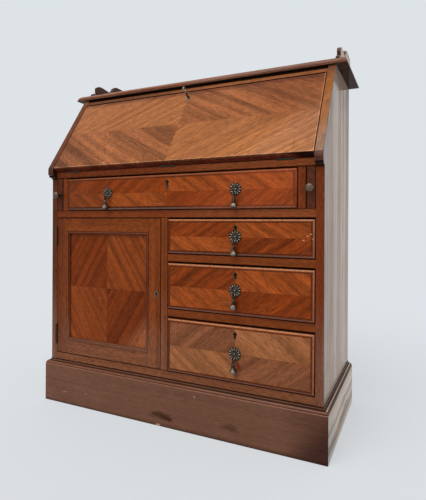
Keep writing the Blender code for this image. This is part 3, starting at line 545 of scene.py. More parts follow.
RUBBED_TINT = (1.55, 1.5, 1.45)
DIRTY_TINT = (0.62, 0.58, 0.55)
BLOOM_TINT = (0.99, 0.93, 0.84)
SCRATCH = linear(176, 150, 126)


def polish_wood(finish, colour, height, place, low, high, edge_width=2 * MM, polish=None, coat=0.09,
                coat_ior=1.2, body_roughness=0.42, edge_tone=0.6, spots=(), strips=(), sheen=0.0, figure=None):
    """The shared end of every wood: wear, grime, marks, polish and the lift of the grain.

    A spot is a place, a size, a colour, a strength, a raggedness, a softness and a lean. A strip is a
    direction, its two ends, a colour, a strength, a softness and the share of the polish that it keeps.
    Figure is the light and dark of the grain, which shows through every strip of a plain colour.
    """
    bench = finish.bench
    finishes = bpy.context.scene.desk_finishes
    marks = bench.group("Old Polish", Vector=place, Low=low, High=high, Edge_Width=edge_width)
    wear = finishes.wear
    rubbed = bench.blend(1.0, colour, RUBBED_TINT, "MULTIPLY")
    colour = bench.blend(bench.times(marks["Edge"], wear * edge_tone), colour, rubbed)
    dirty = bench.blend(1.0, colour, DIRTY_TINT, "MULTIPLY")
    colour = bench.blend(bench.times(marks["Grime"], wear * 0.55), colour, dirty)
    colour = bench.blend(bench.times(marks["Scuff"], wear * 0.45), colour, SCRATCH)
    coat_share = finishes.polish if polish is None else polish
    full_weight = weight = bench.maths("MULTIPLY_ADD", marks["Grime"], -0.25 * coat_share, coat_share)
    shades = None if figure is None else bench.vector(figure, figure, figure)
    for direction, start, end, tone, strength, softness, kept in strips:
        if shades is not None and not isinstance(tone, bpy.types.NodeSocket):
            tone = bench.blend(1.0, tone, shades, "MULTIPLY")
        mask = strip_mask(bench, place, direction, start, end, softness)
        colour = bench.blend(bench.times(mask, strength), colour, tone)
        weight = bench.between(mask, weight, bench.times(full_weight, kept))
    for spot_place, size, tone, strength, ragged, softness, lean in spots:
        mark = bench.group("Spot", Vector=place, Place=spot_place, Size=size, Ragged=ragged, Softness=softness,
                           Lean=lean)["Mark"]
        mark = bench.times(mark, strength)
        colour = bench.blend(mark, colour, tone)
        weight = bench.between(mark, weight, 0.0)
    roughness = bench.maths("MULTIPLY_ADD", marks["Grime"], 0.14, body_roughness)
    finish.set(Base_Color=colour, Roughness=roughness, Coat_Weight=weight, Coat_Roughness=coat,
               Coat_IOR=coat_ior, Specular_IOR_Level=0.0, Sheen_Weight=sheen, Sheen_Roughness=0.3,
               Sheen_Tint=BLOOM_TINT)
    finish.bump(height, 0.12 * MM, 0.6)
    return finish.material


GRAIN_TURNS = {"X": (0, 2, 1), "Y": (1, 2, 0), "Z": (2, 0, 1)}


def grain_along(bench, vector, axis, seed):
    """Coordinates whose first part runs with the grain of a board."""
    parts = bench.split(vector)
    first, second, third = GRAIN_TURNS[axis]
    return bench.vector(bench.maths("ADD", parts[first], seed * 1.37),
                        bench.maths("ADD", parts[second], seed * 0.73), parts[third])


def board_finish(name, axis, tones, box, seed, band=16 * MM, contrast=1.0, fibre=0.65, fleck=1.0,
                 pore_strength=0.45, band_length=0.7, outer=None, outer_polish=(0.5, 1.05), outer_shades=(),
                 strips=(), **polish):
    """A solid board whose grain runs along one axis of the desk.

    Outer is the side, -1 or 1, whose face lies at an end of the desk, with that face's two tones. Its
    streaks run from the first share of the polish to the second. An outer shade on it is a direction, a
    level, a colour, a strength and a softness.
    """
    finish = Finish(name)
    bench = finish.bench
    vector = grain_along(bench, finish.place, axis, seed)
    grain = wood_grain(bench, vector, tones, Band_Width=band, Band_Length=band_length, Contrast=contrast,
                       Fibre_Strength=fibre, Fleck_Strength=fleck, Pore_Strength=pore_strength)
    low, high = box
    if outer:
        side, outer_tones = outer
        bleached = wood_grain(bench, vector, outer_tones, 0.6, Band_Width=24 * MM, Band_Length=1.8, Contrast=1.2,
                              Fibre_Width=2.6 * MM, Fibre_Strength=0.7, Fleck_Strength=0.5, Pore_Strength=0.3)
        start = (high[0] if side > 0 else -low[0]) - 0.6 * MM
        kept = bench.span(bleached["Band"], 0.15, 0.75, *outer_polish)
        face = bleached["Color"]
        for direction, level, tone, strength, softness in outer_shades:
            mask = strip_mask(bench, finish.place, direction, level, FAR, softness)
            face = bench.blend(bench.times(mask, strength), face, tone)
        strips = [*strips, past((side, 0, 0), start, face, 0.95, 0.2 * MM, kept)]
    return polish_wood(finish, grain["Color"], grain["Height"], finish.place, low, high, strips=strips,
                       figure=grain["Figure"], **polish)


def veneer_finish(name, centre, half_x, half_z, slant, tones, bands, seed, tilt=0.0, edge=0.0, light_and_shade=None,
                  contrasts=(1.0, 1.0), depth=20 * MM, lipped=(), **polish):
    """Quarter-matched veneer on a flat face, with a solid moulded edge where it has one.

    Lipped lists the direction and the level of each plain edge that shows solid wood instead of veneer.
    """
    finish = Finish(name)
    bench = finish.bench
    finishes = bpy.context.scene.desk_finishes
    local = bench.put("ShaderNodeMapping", {"vector_type": "TEXTURE"}, Vector=finish.place,
                      Location=tuple(centre), Rotation=(tilt, 0, 0)).outputs[0]
    leaves = bench.group("Matched Quarters", Vector=local, Slant=slant, Seed=seed)
    even, odd = (wood_grain(bench, leaves["Grain"], pair, Band_Width=band, Band_Length=0.8, Contrast=contrast,
                            Fibre_Width=2.4 * MM, Fibre_Strength=1.0, Fleck_Strength=1.0, Pore_Strength=0.45)
                 for pair, band, contrast in zip(tones, bands, contrasts))
    colour = bench.blend(leaves["Odd"], even["Color"], odd["Color"])
    height, figure = (bench.between(leaves["Odd"], even[part], odd[part]) for part in ("Height", "Figure"))
    colour = bench.blend(bench.times(leaves["Join"], 0.45), colour, linear(70, 30, 14))
    for direction, level in lipped:
        solid = wood_grain(bench, grain_along(bench, local, "X", seed + 0.7), two_tones(finishes.rail),
                           Band_Width=7 * MM, Fibre_Strength=0.6)
        mask = strip_mask(bench, local, direction, level, FAR, 0.2 * MM)
        colour = bench.blend(mask, colour, solid["Color"])
        figure = bench.between(mask, figure, solid["Figure"])
    if edge:
        colour = moulded_colour(bench, local, colour, (half_x, half_z, edge), seed, light_and_shade)
    low = (-half_x, -depth, -half_z)
    high = (half_x, 0, half_z)
    return polish_wood(finish, colour, height, local, low, high, figure=figure, **polish)


def moulded_colour(bench, local, colour, extent, seed, light_and_shade):
    """Lays a moulded edge of solid wood round a colour, with painted shade on its four sides, painted highlights on
    their facets, and painted shade in its step and at its rim.
    """
    finishes = bpy.context.scene.desk_finishes
    half_x, half_z, edge = extent
    grime = tuple(finishes.grime)
    parts = bench.group("Moulded Edge", Vector=local, Half_X=half_x, Half_Z=half_z, Width=edge)
    grain = wood_grain(bench, grain_along(bench, local, "X", seed + 0.4), two_tones(finishes.rail),
                       Band_Width=8 * MM, Fibre_Strength=0.4)
    colour = bench.blend(parts["Panel"], grain["Color"], colour)
    ragged = bench.span(bench.noise(local, 170.0, 3.0, 0.6), 0.34, 0.56)
    moulding = bench.minus(1.0, parts["Panel"])
    for side, shade_tone, shade_strength, highlight_tone, highlight_strength in light_and_shade:
        part = bench.times(parts[side], moulding)
        colour = bench.blend(bench.times(part, shade_strength), colour, shade_tone)
        facet = bench.times(bench.times(part, parts["Facet"]), highlight_strength)
        patchy = bench.times(facet, bench.maths("MULTIPLY_ADD", ragged, 0.4, 0.6))
        colour = bench.blend(patchy, colour, highlight_tone)
    # Painted shade in the step of the moulding and in the gap at its rim.
    step = bench.times(parts["Step"], bench.maths("MULTIPLY_ADD", ragged, 0.5, 0.2))
    colour = bench.blend(step, colour, grime)
    return bench.blend(bench.times(parts["Rim"], 0.85), colour, grime)


def keyhole_shade(x, face, z):
    """The dark inside of a keyhole, whose round part lies at X and Z behind a face."""
    place, size = (x, face + 8.0 * MM, z - 3.6 * MM), (5 * MM, 7.7 * MM, 10 * MM)
    return spot(place, size, linear(10, 6, 4), 0.97, 0.0, 0.15)


def framed_finish(name, box, frame_width, tones, seed):
    """A jointed door frame: upright stiles, level rails, dark joints and a dark bead round the panel, with painted
    lines of shade at its edge and in the bead's quirks, and a painted highlight on the bead's crown.
    """
    finish = Finish(name)
    bench = finish.bench
    finishes = bpy.context.scene.desk_finishes
    grime = tuple(finishes.grime)
    low, high = box
    centre = (Vector(low) + Vector(high)) / 2
    half_x = (high[0] - low[0]) / 2
    half_z = (high[2] - low[2]) / 2
    local = bench.put("ShaderNodeMapping", {"vector_type": "TEXTURE"}, Vector=finish.place,
                      Location=(centre.x, low[1], centre.z)).outputs[0]
    x, depth, z = bench.split(local)
    at_face = bench.maths("LESS_THAN", depth, 5 * MM)
    from_side = bench.minus(half_x, bench.maths("ABSOLUTE", x))
    from_end = bench.minus(half_z, bench.maths("ABSOLUTE", z))
    nearest = bench.maths("MINIMUM", from_side, from_end)
    stile = bench.maths("LESS_THAN", from_side, frame_width)
    in_mould = bench.maths("LESS_THAN", from_side, from_end)
    past_frame = bench.maths("GREATER_THAN", nearest, frame_width)
    upright = bench.between(past_frame, stile, in_mould)
    stiles, rails = (wood_grain(bench, grain_along(bench, local, axis, turn), tones, Band_Width=14 * MM,
                                Contrast=1.0, Fibre_Strength=0.65, Fleck_Strength=1.1)
                     for axis, turn in (("Z", seed), ("X", seed + 2.3)))
    colour = bench.blend(upright, rails["Color"], stiles["Color"])
    height, figure = (bench.between(upright, rails[part], stiles[part]) for part in ("Height", "Figure"))
    seam = bench.span(bench.maths("ABSOLUTE", bench.minus(from_side, frame_width)), 0.9 * MM, 0.0)
    seam = bench.times(seam, bench.maths("LESS_THAN", from_end, frame_width))
    colour = bench.blend(bench.times(seam, 0.75), colour, grime)
    colour = bench.blend(bench.times(past_frame, 0.55), colour, linear(84, 34, 16))
    # Painted lines of shade at the frame's outer edge and in the quirks of the bead.
    for inset, width, strength in ((1 * MM, 1.2 * MM, 0.7), (frame_width + 0.8 * MM, 1.2 * MM, 0.8),
                                   (frame_width + 5.6 * MM, 1.4 * MM, 0.8)):
        line = bench.span(bench.maths("ABSOLUTE", bench.minus(nearest, inset)), width, width * 0.4)
        line = bench.times(line, at_face)
        colour = bench.blend(bench.times(line, strength), colour, grime)
    # A painted highlight on the crown of the bead.
    crown = bench.maths("ABSOLUTE", bench.minus(nearest, frame_width + 3.0 * MM))
    colour = bench.blend(bench.times(bench.span(crown, 1.1 * MM, 0.3 * MM), 0.4), colour,
                         linear(170, 104, 74))
    strips = [fade_below(36 * MM - half_z, 170 * MM - half_z, tuple(finishes.faded_frame), 0.5),
              past(LEFT, half_x - 20 * MM, linear(84, 38, 20), 0.5, 14 * MM, 1.0)]
    hole = keyhole_shade(half_x - KEYHOLE_INSET, 1.5 * MM, 0.0)
    return polish_wood(finish, colour, height, local, (-half_x, 0, -half_z), (half_x, 0.02, half_z),
                       strips=strips, spots=(hole,), figure=figure)


def metal_finish(name, rubbed, dull, hollow, proud, rubbing=0.8, metallic=0.85, clouds=1.3, shaded_place=None):
    """Cast or turned metal with its patina, and painted black shade at one place where it has one."""
    finish = Finish(name)
    bench = finish.bench
    patina = bench.group("Patina", Vector=finish.place, Hollow=hollow, Proud=proud, Rubbed=rubbed, Dull=dull,
                         Rubbing=rubbing, Clouds=clouds)
    colour = patina["Color"]
    if shaded_place:
        painted_shade = bench.group("Spot", Vector=finish.place, Place=shaded_place, Size=(2.6 * MM, 9 * MM, 3.0 * MM),
                           Ragged=0.5, Softness=0.5)["Mark"]
        colour = bench.blend(painted_shade, colour, linear(12, 8, 6))
    finish.set(Base_Color=colour, Roughness=patina["Roughness"], Metallic=metallic)
    finish.bump(patina["Height"], 0.05 * MM, 0.5)
    return finish.material


# Meshes


def new_piece(label, mesh, material, body, slot, *replaced):
    """Hands a finished mesh to the frame: it rides on a body and stands for the nodes named."""
    piece = bpy.data.objects.new(label, mesh)
    bpy.context.scene.collection.objects.link(piece)
    piece.data.materials.clear()
    piece.data.materials.append(material)
    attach(piece, body)
    if replaced:
        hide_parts(*replaced)
    return piece


def plain_mesh(helper, label):
    """The mesh that a helper's modifiers make, as a plain mesh. The helper is taken out."""
    graph = bpy.context.evaluated_depsgraph_get()
    made = bpy.data.meshes.new_from_object(helper.evaluated_get(graph), preserve_all_data_layers=True,
                                           depsgraph=graph)
    made.name = label
    bpy.data.objects.remove(helper)
    return made


def helper_for(mesh, modifier_kind):
    """A passing object that carries a mesh and one modifier."""
    helper = bpy.data.objects.new("Helper", mesh)
    bpy.context.scene.collection.objects.link(helper)
    return helper, helper.modifiers.new(modifier_kind, modifier_kind)


SMOOTH_ANGLE = math.radians(38)
FLAT_ANGLE = math.radians(0.4)
MERGE_DISTANCE = 0.004 * MM
SHORTEST_ARRIS = 5 * MM
LEAST_FACE = 6e-6  # square metres


def smooth_mesh(work, label):
    """A mesh with smooth curves and crisp corners, and even shading on its flat faces."""
    mesh = bpy.data.meshes.new(label)
    work.to_mesh(mesh)
    work.free()
    mesh.shade_smooth()
    mesh.set_sharp_from_angle(angle=SMOOTH_ANGLE)
    helper, modifier = helper_for(mesh, "WEIGHTED_NORMAL")
    modifier.keep_sharp = True
    return plain_mesh(helper, label)


def soften(work, edges, offset, clamp):
    """Rounds the chosen edges of a mesh."""
    bmesh.ops.bevel(work, geom=edges, offset=offset, offset_type="OFFSET", segments=2, profile=0.5,
                    affect="EDGES", clamp_overlap=clamp)


def dressed_mesh(node, label, rounding):
    """A copy of a node's mesh with its triangles joined, its edges rounded and its curves smooth."""
    work = bmesh.new()
    work.from_mesh(NODES[node].data)
    bmesh.ops.remove_doubles(work, verts=work.verts, dist=MERGE_DISTANCE)
    bmesh.ops.dissolve_limit(work, angle_limit=FLAT_ANGLE, verts=work.verts, edges=work.edges)
    if rounding:
        chosen = [edge for edge in work.edges
                  if len(edge.link_faces) == 2 and edge.calc_face_angle(0) > SMOOTH_ANGLE
                  and edge.calc_length() > SHORTEST_ARRIS
                  and min(face.calc_area() for face in edge.link_faces) > LEAST_FACE]
        soften(work, chosen, rounding, False)
    bmesh.ops.recalc_face_normals(work, faces=work.faces)
    return smooth_mesh(work, label)


def dress(node, label, material, slot, rounding):
    """Dresses one node and puts the result in its place."""
    return new_piece(label, dressed_mesh(node, label, rounding), material, BODY_OF[node], slot, node)


def corners(node):
    """A node's box as two plain corners."""
    low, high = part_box(node)
    return tuple(low), tuple(high)


def back_centre(low, high):
    """The middle of the back of a box, with half its width and half its height."""
    centre = ((low[0] + high[0]) / 2, high[1], (low[2] + high[2]) / 2)
    return centre, (high[0] - low[0]) / 2, (high[2] - low[2]) / 2


def curve_through(points, steps):
    """A smooth line through pairs of numbers, with a few steps between each two."""
    line = []
    last = len(points) - 1
    for i in range(last):
        before, start, end, after = (Vector(points[max(0, min(last, k))]) for k in (i - 1, i, i + 1, i + 2))
        for step in range(steps):
            t = step / steps
            line.append(tuple(0.5 * (2 * start + (end - before) * t
                                     + (2 * before - 5 * start + 4 * end - after) * t * t
                                     + (3 * start - before - 3 * end + after) * t ** 3)))
    line.append(tuple(points[-1]))
    return line


def add_turned(work, profile, placing, segments=32):
    """A turned solid through radius and height pairs along Z, closed at both ends."""
    rings = []
    for radius, height in profile:
        angles = (math.tau * i / segments for i in range(segments))
        rings.append([work.verts.new(placing @ Vector((radius * math.cos(t), radius * math.sin(t), height)))
                      for t in angles])
    for lower, upper in zip(rings, rings[1:]):
        for i in range(segments):
            j = (i + 1) % segments
            work.faces.new((lower[i], lower[j], upper[j], upper[i]))
    work.faces.new(rings[0][::-1])
    work.faces.new(rings[-1])


def add_ring(work, radius, thick, placing, around=28, section=10, flatten=1.0):
    """A round ring about Z."""
    rings = []
    for i in range(around):
        angle = math.tau * i / around
        outward = Vector((math.cos(angle), math.sin(angle), 0))
        rings.append([work.verts.new(placing @ (outward * (radius + thick * math.cos(t))
                                                + Vector((0, 0, thick * flatten * math.sin(t)))))
                      for t in (math.tau * k / section for k in range(section))])
    for i in range(around):
        here, there = rings[i], rings[(i + 1) % around]
        for k in range(section):
            n = (k + 1) % section
            work.faces.new((here[k], there[k], there[n], here[n]))


def add_prism(work, outline, depth, placing, hole=None):
    """A flat plate of an outline in XZ that runs from Y zero back by a depth, with or without a hole."""
    def wall(points, flip):
        front = [work.verts.new(placing @ Vector((x, 0, z))) for x, z in points]
        back = [work.verts.new(placing @ Vector((x, depth, z))) for x, z in points]
        count = len(points)
        for i in range(count):
            j = (i + 1) % count
            quad = (front[i], back[i], back[j], front[j])
            work.faces.new(quad[::-1] if flip else quad)
        return front, back

    front, back = wall(outline, False)
    if hole is None:
        work.faces.new(front)
        work.faces.new(back[::-1])
        return
    inner_front, inner_back = wall(hole, True)
    count = len(outline)
    for i in range(count):
        j = (i + 1) % count
        work.faces.new((front[i], front[j], inner_front[j], inner_front[i]))
        work.faces.new((back[i], inner_back[i], inner_back[j], back[j]))


def add_slab(work, low, high, placing):
    """A plain block between two corners."""
    (x0, y0, z0), (x1, y1, z1) = low, high
    outline = [(x0, z0), (x1, z0), (x1, z1), (x0, z1)]
    add_prism(work, outline, y1 - y0, placing @ Matrix.Translation((0, y0, 0)))


def add_ball(work, centre, radii, placing, segments=16, rings=10):
    """A ball or an egg."""
    turn = placing @ Matrix.Translation(centre) @ Matrix.Diagonal((*radii, 1))
    bmesh.ops.create_uvsphere(work, u_segments=segments, v_segments=rings, radius=1, matrix=turn)


def close_solids(work):
    """Turns every face of the closed solids in a mesh outwards."""
    bmesh.ops.recalc_face_normals(work, faces=work.faces)


# Operators


class DESK_OT_groups(bpy.types.Operator):
    """Make the shared groups of grain, veneer, polish, marks and patina"""

    bl_idname = "desk.groups"
    bl_label = "Shared finishes"

    def execute(self, context):
        for make in (group_wood_grain, group_matched_quarters, group_old_polish, group_strip, group_moulded_edge,
                     group_spot, group_patina):
            make()
        return {"FINISHED"}


# Node, label, direction of the grain, tone, seed
CARCASS = (
    ("side_left", "Side_Left", "Z", "stile", 1.1), ("side_right", "Side_Right", "Z", "stile", 2.7),
    ("bottom_board", "Bottom_Rail", "X", "faded_deep", 3.2), ("mid_board", "Middle_Rail", "X", "rail", 4.9),
    ("centre_partition", "Partition", "Z", "stile", 5.3), ("desk_bed", "Desk_Bed", "X", "rail", 6.1),
    ("drawer_rail_low", "Drawer_Rail_Low", "X", "stile", 7.7),
    ("drawer_rail_high", "Drawer_Rail_High", "X", "stile", 8.4),
    ("loper_stile_left", "Loper_Stile_Left", "Z", "rail", 9.6),
    ("loper_stile_right", "Loper_Stile_Right", "Z", "rail", 10.2),
    ("slope_rail", "Slope_Rail", "X", "rail", 11.5),
)
INSIDE = (
    ("cupboard_shelf", "Cupboard_Shelf", "X", 12.1), ("back_board", "Back_Board", "Z", 13.8),
    ("pigeonhole_nest", "Pigeonholes", "X", 14.4), ("plinth_back", "Plinth_Back", "X", 15.2),
)


def fade_below(full, none, tone, strength):
    """A soft fade towards a tone, from a height where it isn't seen down to one where it is full."""
    return (0, 0, -1), -full, FAR, tone, strength, none - full, 1.0


def slope_fade(way, full, none, tone, strength):
    """A fade on the slope edges alone, full at one height and gone at another, up or down the slope."""
    direction = 20 * OUTWARD + Vector((0, 0, way))
    length = direction.length
    level = 20 * OUTWARD.dot(KEY_SEAT)
    softness = abs(none - full) / length
    return past(direction / length, (level + way * full) / length, tone, strength, softness, 0.6)


def front_lines(low, high, axis, grime, width=0.9 * MM, strength=0.75):
    """Dark lines along the two front edges of a board, beside the gaps: painted shade of the gaps, with some
    soiling.
    """
    lines = []
    for sign in (-1, 1):
        across = (high if sign > 0 else low)[axis]
        direction = [0, -SLANTED, 0]
        direction[axis] = sign * SLANTED
        reach = SLANTED * (sign * across - low[1])
        lines.append(past(direction, reach - width, grime, strength, 0.5 * MM, 0.3))
    return lines


def side_looks(finishes, side, low, high, faded):
    """What sets a side panel apart: its bloomed outer face, its front, its slope edge and its nose."""
    grime = tuple(finishes.grime)
    front_tone, slope_tone = linear(106, 44, 15), tuple(finishes.slope_edge)
    # The left side's front and slope edge are darker: painted shade with some grime.
    if side < 0:
        front_tone, slope_tone = linear(74, 36, 20), linear(96, 56, 36)
    slope_level = OUTWARD.dot(KEY_SEAT)
    shade = linear(58, 27, 14)
    strips = [
        past(FRONT, SIDE_FRONT, front_tone, 0.75, 0.4 * MM, 0.4),
        # Painted shadow under the nose, across the front of the side.
        past(FRONT, SIDE_FRONT + 1.6 * MM, grime, 0.9, 1.0 * MM, 0.0),
        past(OUTWARD, slope_level - 2.5 * MM, slope_tone, 0.75, 0.4 * MM, 0.35),
        faded,
        *front_lines(low, high, 0, grime, 1.0 * MM, 0.6),
    ]
    if side > 0:
        # Painted shadow of the top board at the top of the slope edge.
        strips += [slope_fade(1, 0.982, 0.922, linear(84, 48, 33), 0.75),
                   slope_fade(-1, 0.742, 0.842, linear(144, 108, 86), 0.75)]
    strips.append(past(FRONT, NOSE_FRONT, linear(76, 38, 26), 0.85, 0.5 * MM, 0.5))
    return {
        "coat_ior": 1.32, "sheen": finishes.side_bloom, "outer": (side, two_tones(finishes.side, 0.22)),
        "outer_shades": [(FRONT, SIDE_FRONT - 4 * MM, shade, 0.9, 50 * MM),
                         (tuple(OUTWARD), slope_level - 8 * MM, shade, 0.9, 50 * MM)],
        "strips": strips,
    }


def slope_rail_strips(top):
    """The slope rail's pale lower edge, painted shade darkening its left end and lying under the top board, and a
    painted line of shade over the fall.
    """
    upslope = FALL_FRAME.to_3x3() @ Vector((0, 1, 0))
    direction = (upslope + 3 * OUTWARD).normalized()
    lower = FALL_FRAME @ Vector((0, FALL_L + 0.3 * MM, FALL_T))
    ceiling = lower + upslope * ((top - lower.z) / upslope.z)
    shaded_from = lower.lerp(ceiling, 0.56)
    return [
        past(UP, lower.z, linear(138, 84, 46), 0.75, 0.6 * MM, 1.0),
        # Painted shade, deeper towards the left end.
        past(LEFT, 0.28, linear(56, 28, 18), 0.5, 0.42, 0.8),
        # Painted shade under the top board's overhang.
        past(direction, shaded_from.dot(direction), linear(9, 4, 2), 0.97, 0.5 * MM, 0.0),
        # A painted line of shade in the gap over the fall.
        (UP, lower.z - 3 * MM, lower.z + 1.3 * MM, linear(16, 6, 4), 0.95, 0.5 * MM, 0.0),
    ]


class DESK_OT_carcass(bpy.types.Operator):
    """Dress the sides, rails, stiles and boards of the carcass"""

    bl_idname = "desk.carcass"
    bl_label = "Carcass"

    def execute(self, context):
        sizes, finishes = context.scene.desk_sizes, context.scene.desk_finishes
        faded = fade_below(0.2, 0.4, tuple(finishes.faded_frame), 0.55)
        for node, label, axis, tone, seed in CARCASS:
            low, high = corners(node)
            if node.startswith("side"):
                looks = side_looks(finishes, 1 if node == "side_right" else -1, low, high, faded)
            elif node == "slope_rail":
                looks = {"strips": slope_rail_strips(high[2])}
            else:
                looks = {"strips": front_lines(low, high, 2 if axis == "X" else 0, tuple(finishes.grime))}
                if node == "centre_partition":
                    looks["strips"].append(faded)
                elif node in ("desk_bed", "mid_board"):
                    looks["strips"].insert(0, past(RIGHT, 0.14, linear(152, 84, 46), 0.36, 0.2, 1.0))
            tones = two_tones(getattr(finishes, tone))
            material = board_finish(label, axis, tones, (low, high), seed, **looks)
            dress(node, label, material, "frame_wood", sizes.arris)
        return {"FINISHED"}


BARE_WOOD = {"fleck": 0.45, "body_roughness": 0.6, "coat": 0.3, "coat_ior": 1.3}


class DESK_OT_inside(bpy.types.Operator):
    """Dress the shelf, the back, the pigeonholes and the hidden plinth board"""

    bl_idname = "desk.inside"
    bl_label = "Inside"

    def execute(self, context):
        sizes, finishes = context.scene.desk_sizes, context.scene.desk_finishes
        tones = two_tones(finishes.inside, 0.25)
        for node, label, axis, seed in INSIDE:
            material = board_finish(label, axis, tones, corners(node), seed, band=24 * MM, polish=0.15,
                                    **BARE_WOOD)
            slot = "plinth_wood" if node == "plinth_back" else "inside_wood"
            dress(node, label, material, slot, sizes.fine_arris)
        return {"FINISHED"}


class DESK_OT_plinth(bpy.types.Operator):
    """Dress the plinth's moulded boards, with their stains, chips and scuffs"""

    bl_idname = "desk.plinth"
    bl_label = "Plinth"

    def execute(self, context):
        sizes, finishes = context.scene.desk_sizes, context.scene.desk_finishes
        tones = two_tones(finishes.plinth, 0.2)
        grime = tuple(finishes.grime)
        face_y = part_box("plinth_front")[0].y
        end_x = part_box("plinth_right")[1].x
        dark_patch, pale, knot = linear(50, 28, 18), linear(172, 140, 116), linear(36, 26, 20)
        front_marks = (
            face_spot(-0.012, face_y, 0.030, 0.046, 0.014, dark_patch, 0.75, 1.7, 0.75),
            face_spot(0.012, face_y, 0.024, 0.020, 0.008, dark_patch, 0.7, 1.5, 0.6),
            face_spot(0.196, face_y, 0.038, 0.034, 0.013, dark_patch, 0.5, 1.7, 0.8),
            face_spot(-0.020, face_y, 0.003, 0.009, 0.004, pale, 0.8, 1.2, 0.4),
            face_spot(-0.359, face_y, 0.036, 0.011, 0.0018, pale, 0.55, 1.2, 0.5),
            face_spot(-0.276, face_y, 0.043, 0.0035, 0.0025, pale, 0.5, 1.2, 0.5),
            face_spot(0.092, face_y, 0.099, 0.0024, 0.0045, pale, 0.55, 1.2, 0.5),
        )
        end_marks = (
            spot((end_x, 0.000, 0.0375), (MARK_DEPTH, 0.075, 0.0085), knot, 0.85, 1.6, 0.7),
            spot((end_x, 0.075, 0.0440), (MARK_DEPTH, 0.060, 0.0050), knot, 0.9, 1.3, 0.6),
            spot((end_x, 0.030, 0.0780), (MARK_DEPTH, 0.040, 0.0040), knot, 0.7, 1.4, 0.7),
            spot((end_x, -0.100, 0.0180), (MARK_DEPTH, 0.060, 0.0050), knot, 0.6, 1.6, 0.8),
        )
        # Painted highlights and lines of shade along the plinth's top moulding.
        moulding = [
            past(UP, 127.0 * MM, grime, 0.85, 0.4 * MM, 0.1),
            (UP, 124.6 * MM, 126.0 * MM, linear(132, 82, 60), 0.5, 0.6 * MM, 1.0),
            (UP, 122.6 * MM, 123.8 * MM, grime, 0.75, 0.5 * MM, 0.3),
            (UP, 118.6 * MM, 121.2 * MM, linear(124, 72, 50), 0.45, 0.8 * MM, 1.0),
            (UP, 116.2 * MM, 117.4 * MM, linear(58, 24, 14), 0.8, 0.5 * MM, 0.3),
            (UP, 113.6 * MM, 115.0 * MM, linear(146, 100, 78), 0.6, 0.6 * MM, 1.0),
        ]
        # The right end's moulding: painted shade below a painted highlight line.
        dark_moulding = [
            past(UP, 114.2 * MM, linear(44, 22, 15), 0.9, 0.4 * MM, 0.12),
            (UP, 122.0 * MM, 123.0 * MM, linear(190, 156, 134), 0.75, 0.5 * MM, 1.0),
        ]
        front_shades = [
            past(RIGHT, 0.12, toned(finishes.plinth, 0.82), 0.55, 0.45, 1.0),
            past(RIGHT, 0.44, linear(66, 34, 24), 0.6, 0.13, 0.8),
            past(DOWN, -2 * MM, linear(52, 33, 27), 0.6, 9 * MM, 0.5),
            past(DOWN_RIGHT, 0.286, linear(44, 24, 18), 0.75, 0.07, 0.5),
        ]
        boards = (("plinth_front", "Plinth_Front", "X", 21.0, front_marks, [*front_shades, *moulding]),
                  ("plinth_left", "Plinth_Left", "Y", 22.6, (), moulding),
                  ("plinth_right", "Plinth_Right", "Y", 23.9, end_marks, dark_moulding))
        for node, label, axis, seed, marks, strips in boards:
            looks = {"sheen": 0.0}
            if node != "plinth_front":
                looks["sheen"] = finishes.side_bloom
                looks["outer"] = 1 if node == "plinth_right" else -1, two_tones(linear(132, 97, 66), 0.3)
            if node == "plinth_right":
                looks["outer_shades"] = (((0, -SLANTED, -SLANTED), 0.10, linear(48, 38, 28), 0.8, 0.09),)
            material = board_finish(label, axis, tones, corners(node), seed, band=12 * MM, contrast=0.6,
                                    fleck=0.5, body_roughness=0.5, polish=0.85, coat=0.06, coat_ior=1.3,
                                    spots=marks, strips=strips, edge_width=3 * MM, outer_polish=(0.15, 1.1),
                                    **looks)
            dress(node, label, material, "plinth_wood", sizes.arris)
        return {"FINISHED"}


class DESK_OT_top(bpy.types.Operator):
    """Dress the moulded top board and its low gallery"""

    bl_idname = "desk.top"
    bl_label = "Top and gallery"

    def execute(self, context):
        sizes, finishes = context.scene.desk_sizes, context.scene.desk_finishes
        tones = two_tones(finishes.top)
        grime = tuple(finishes.grime)
        boards = (("top_board", "Top_Board", "X", 31.0), ("gallery_left", "Gallery_Left", "Y", 32.2),
                  ("gallery_right", "Gallery_Right", "Y", 33.1), ("gallery_back", "Gallery_Back", "X", 34.8))
        for node, label, axis, seed in boards:
            low, high = corners(node)
            strips, slot, outer = [], "veneer", None
            if node == "top_board":
                slot = "frame_wood"
                strips = [
                    # A painted highlight along the moulded front edge.
                    (UP, low[2] + 11.0 * MM, low[2] + 12.6 * MM, linear(186, 122, 88), 0.5, 1.0 * MM, 1.0),
                    # Painted shade in the quirk of the edge.
                    (UP, low[2] + 3.9 * MM, low[2] + 5.2 * MM, grime, 0.8, 0.5 * MM, 0.2),
                    # Painted shade on the underside of the overhang.
                    past(DOWN, -low[2] - 0.7 * MM, linear(46, 37, 31), 0.86, 0.3 * MM, 0.3),
                ]
            elif node != "gallery_back":
                outer = 1 if node == "gallery_right" else -1, two_tones(finishes.side, 0.25)
                # Painted shade on the front ends of the gallery's sides.
                strips = [past(FRONT, -low[1] - 1.0 * MM, grime, 0.85, 0.6 * MM, 0.2)]
            shown = tuple(toned(tone, 0.45) for tone in tones) if outer else tones
            material = board_finish(label, axis, shown, (low, high), seed, coat_ior=1.3, strips=strips,
                                    outer=outer, sheen=finishes.side_bloom if outer else 0.0)
            dress(node, label, material, slot, sizes.arris)
        return {"FINISHED"}


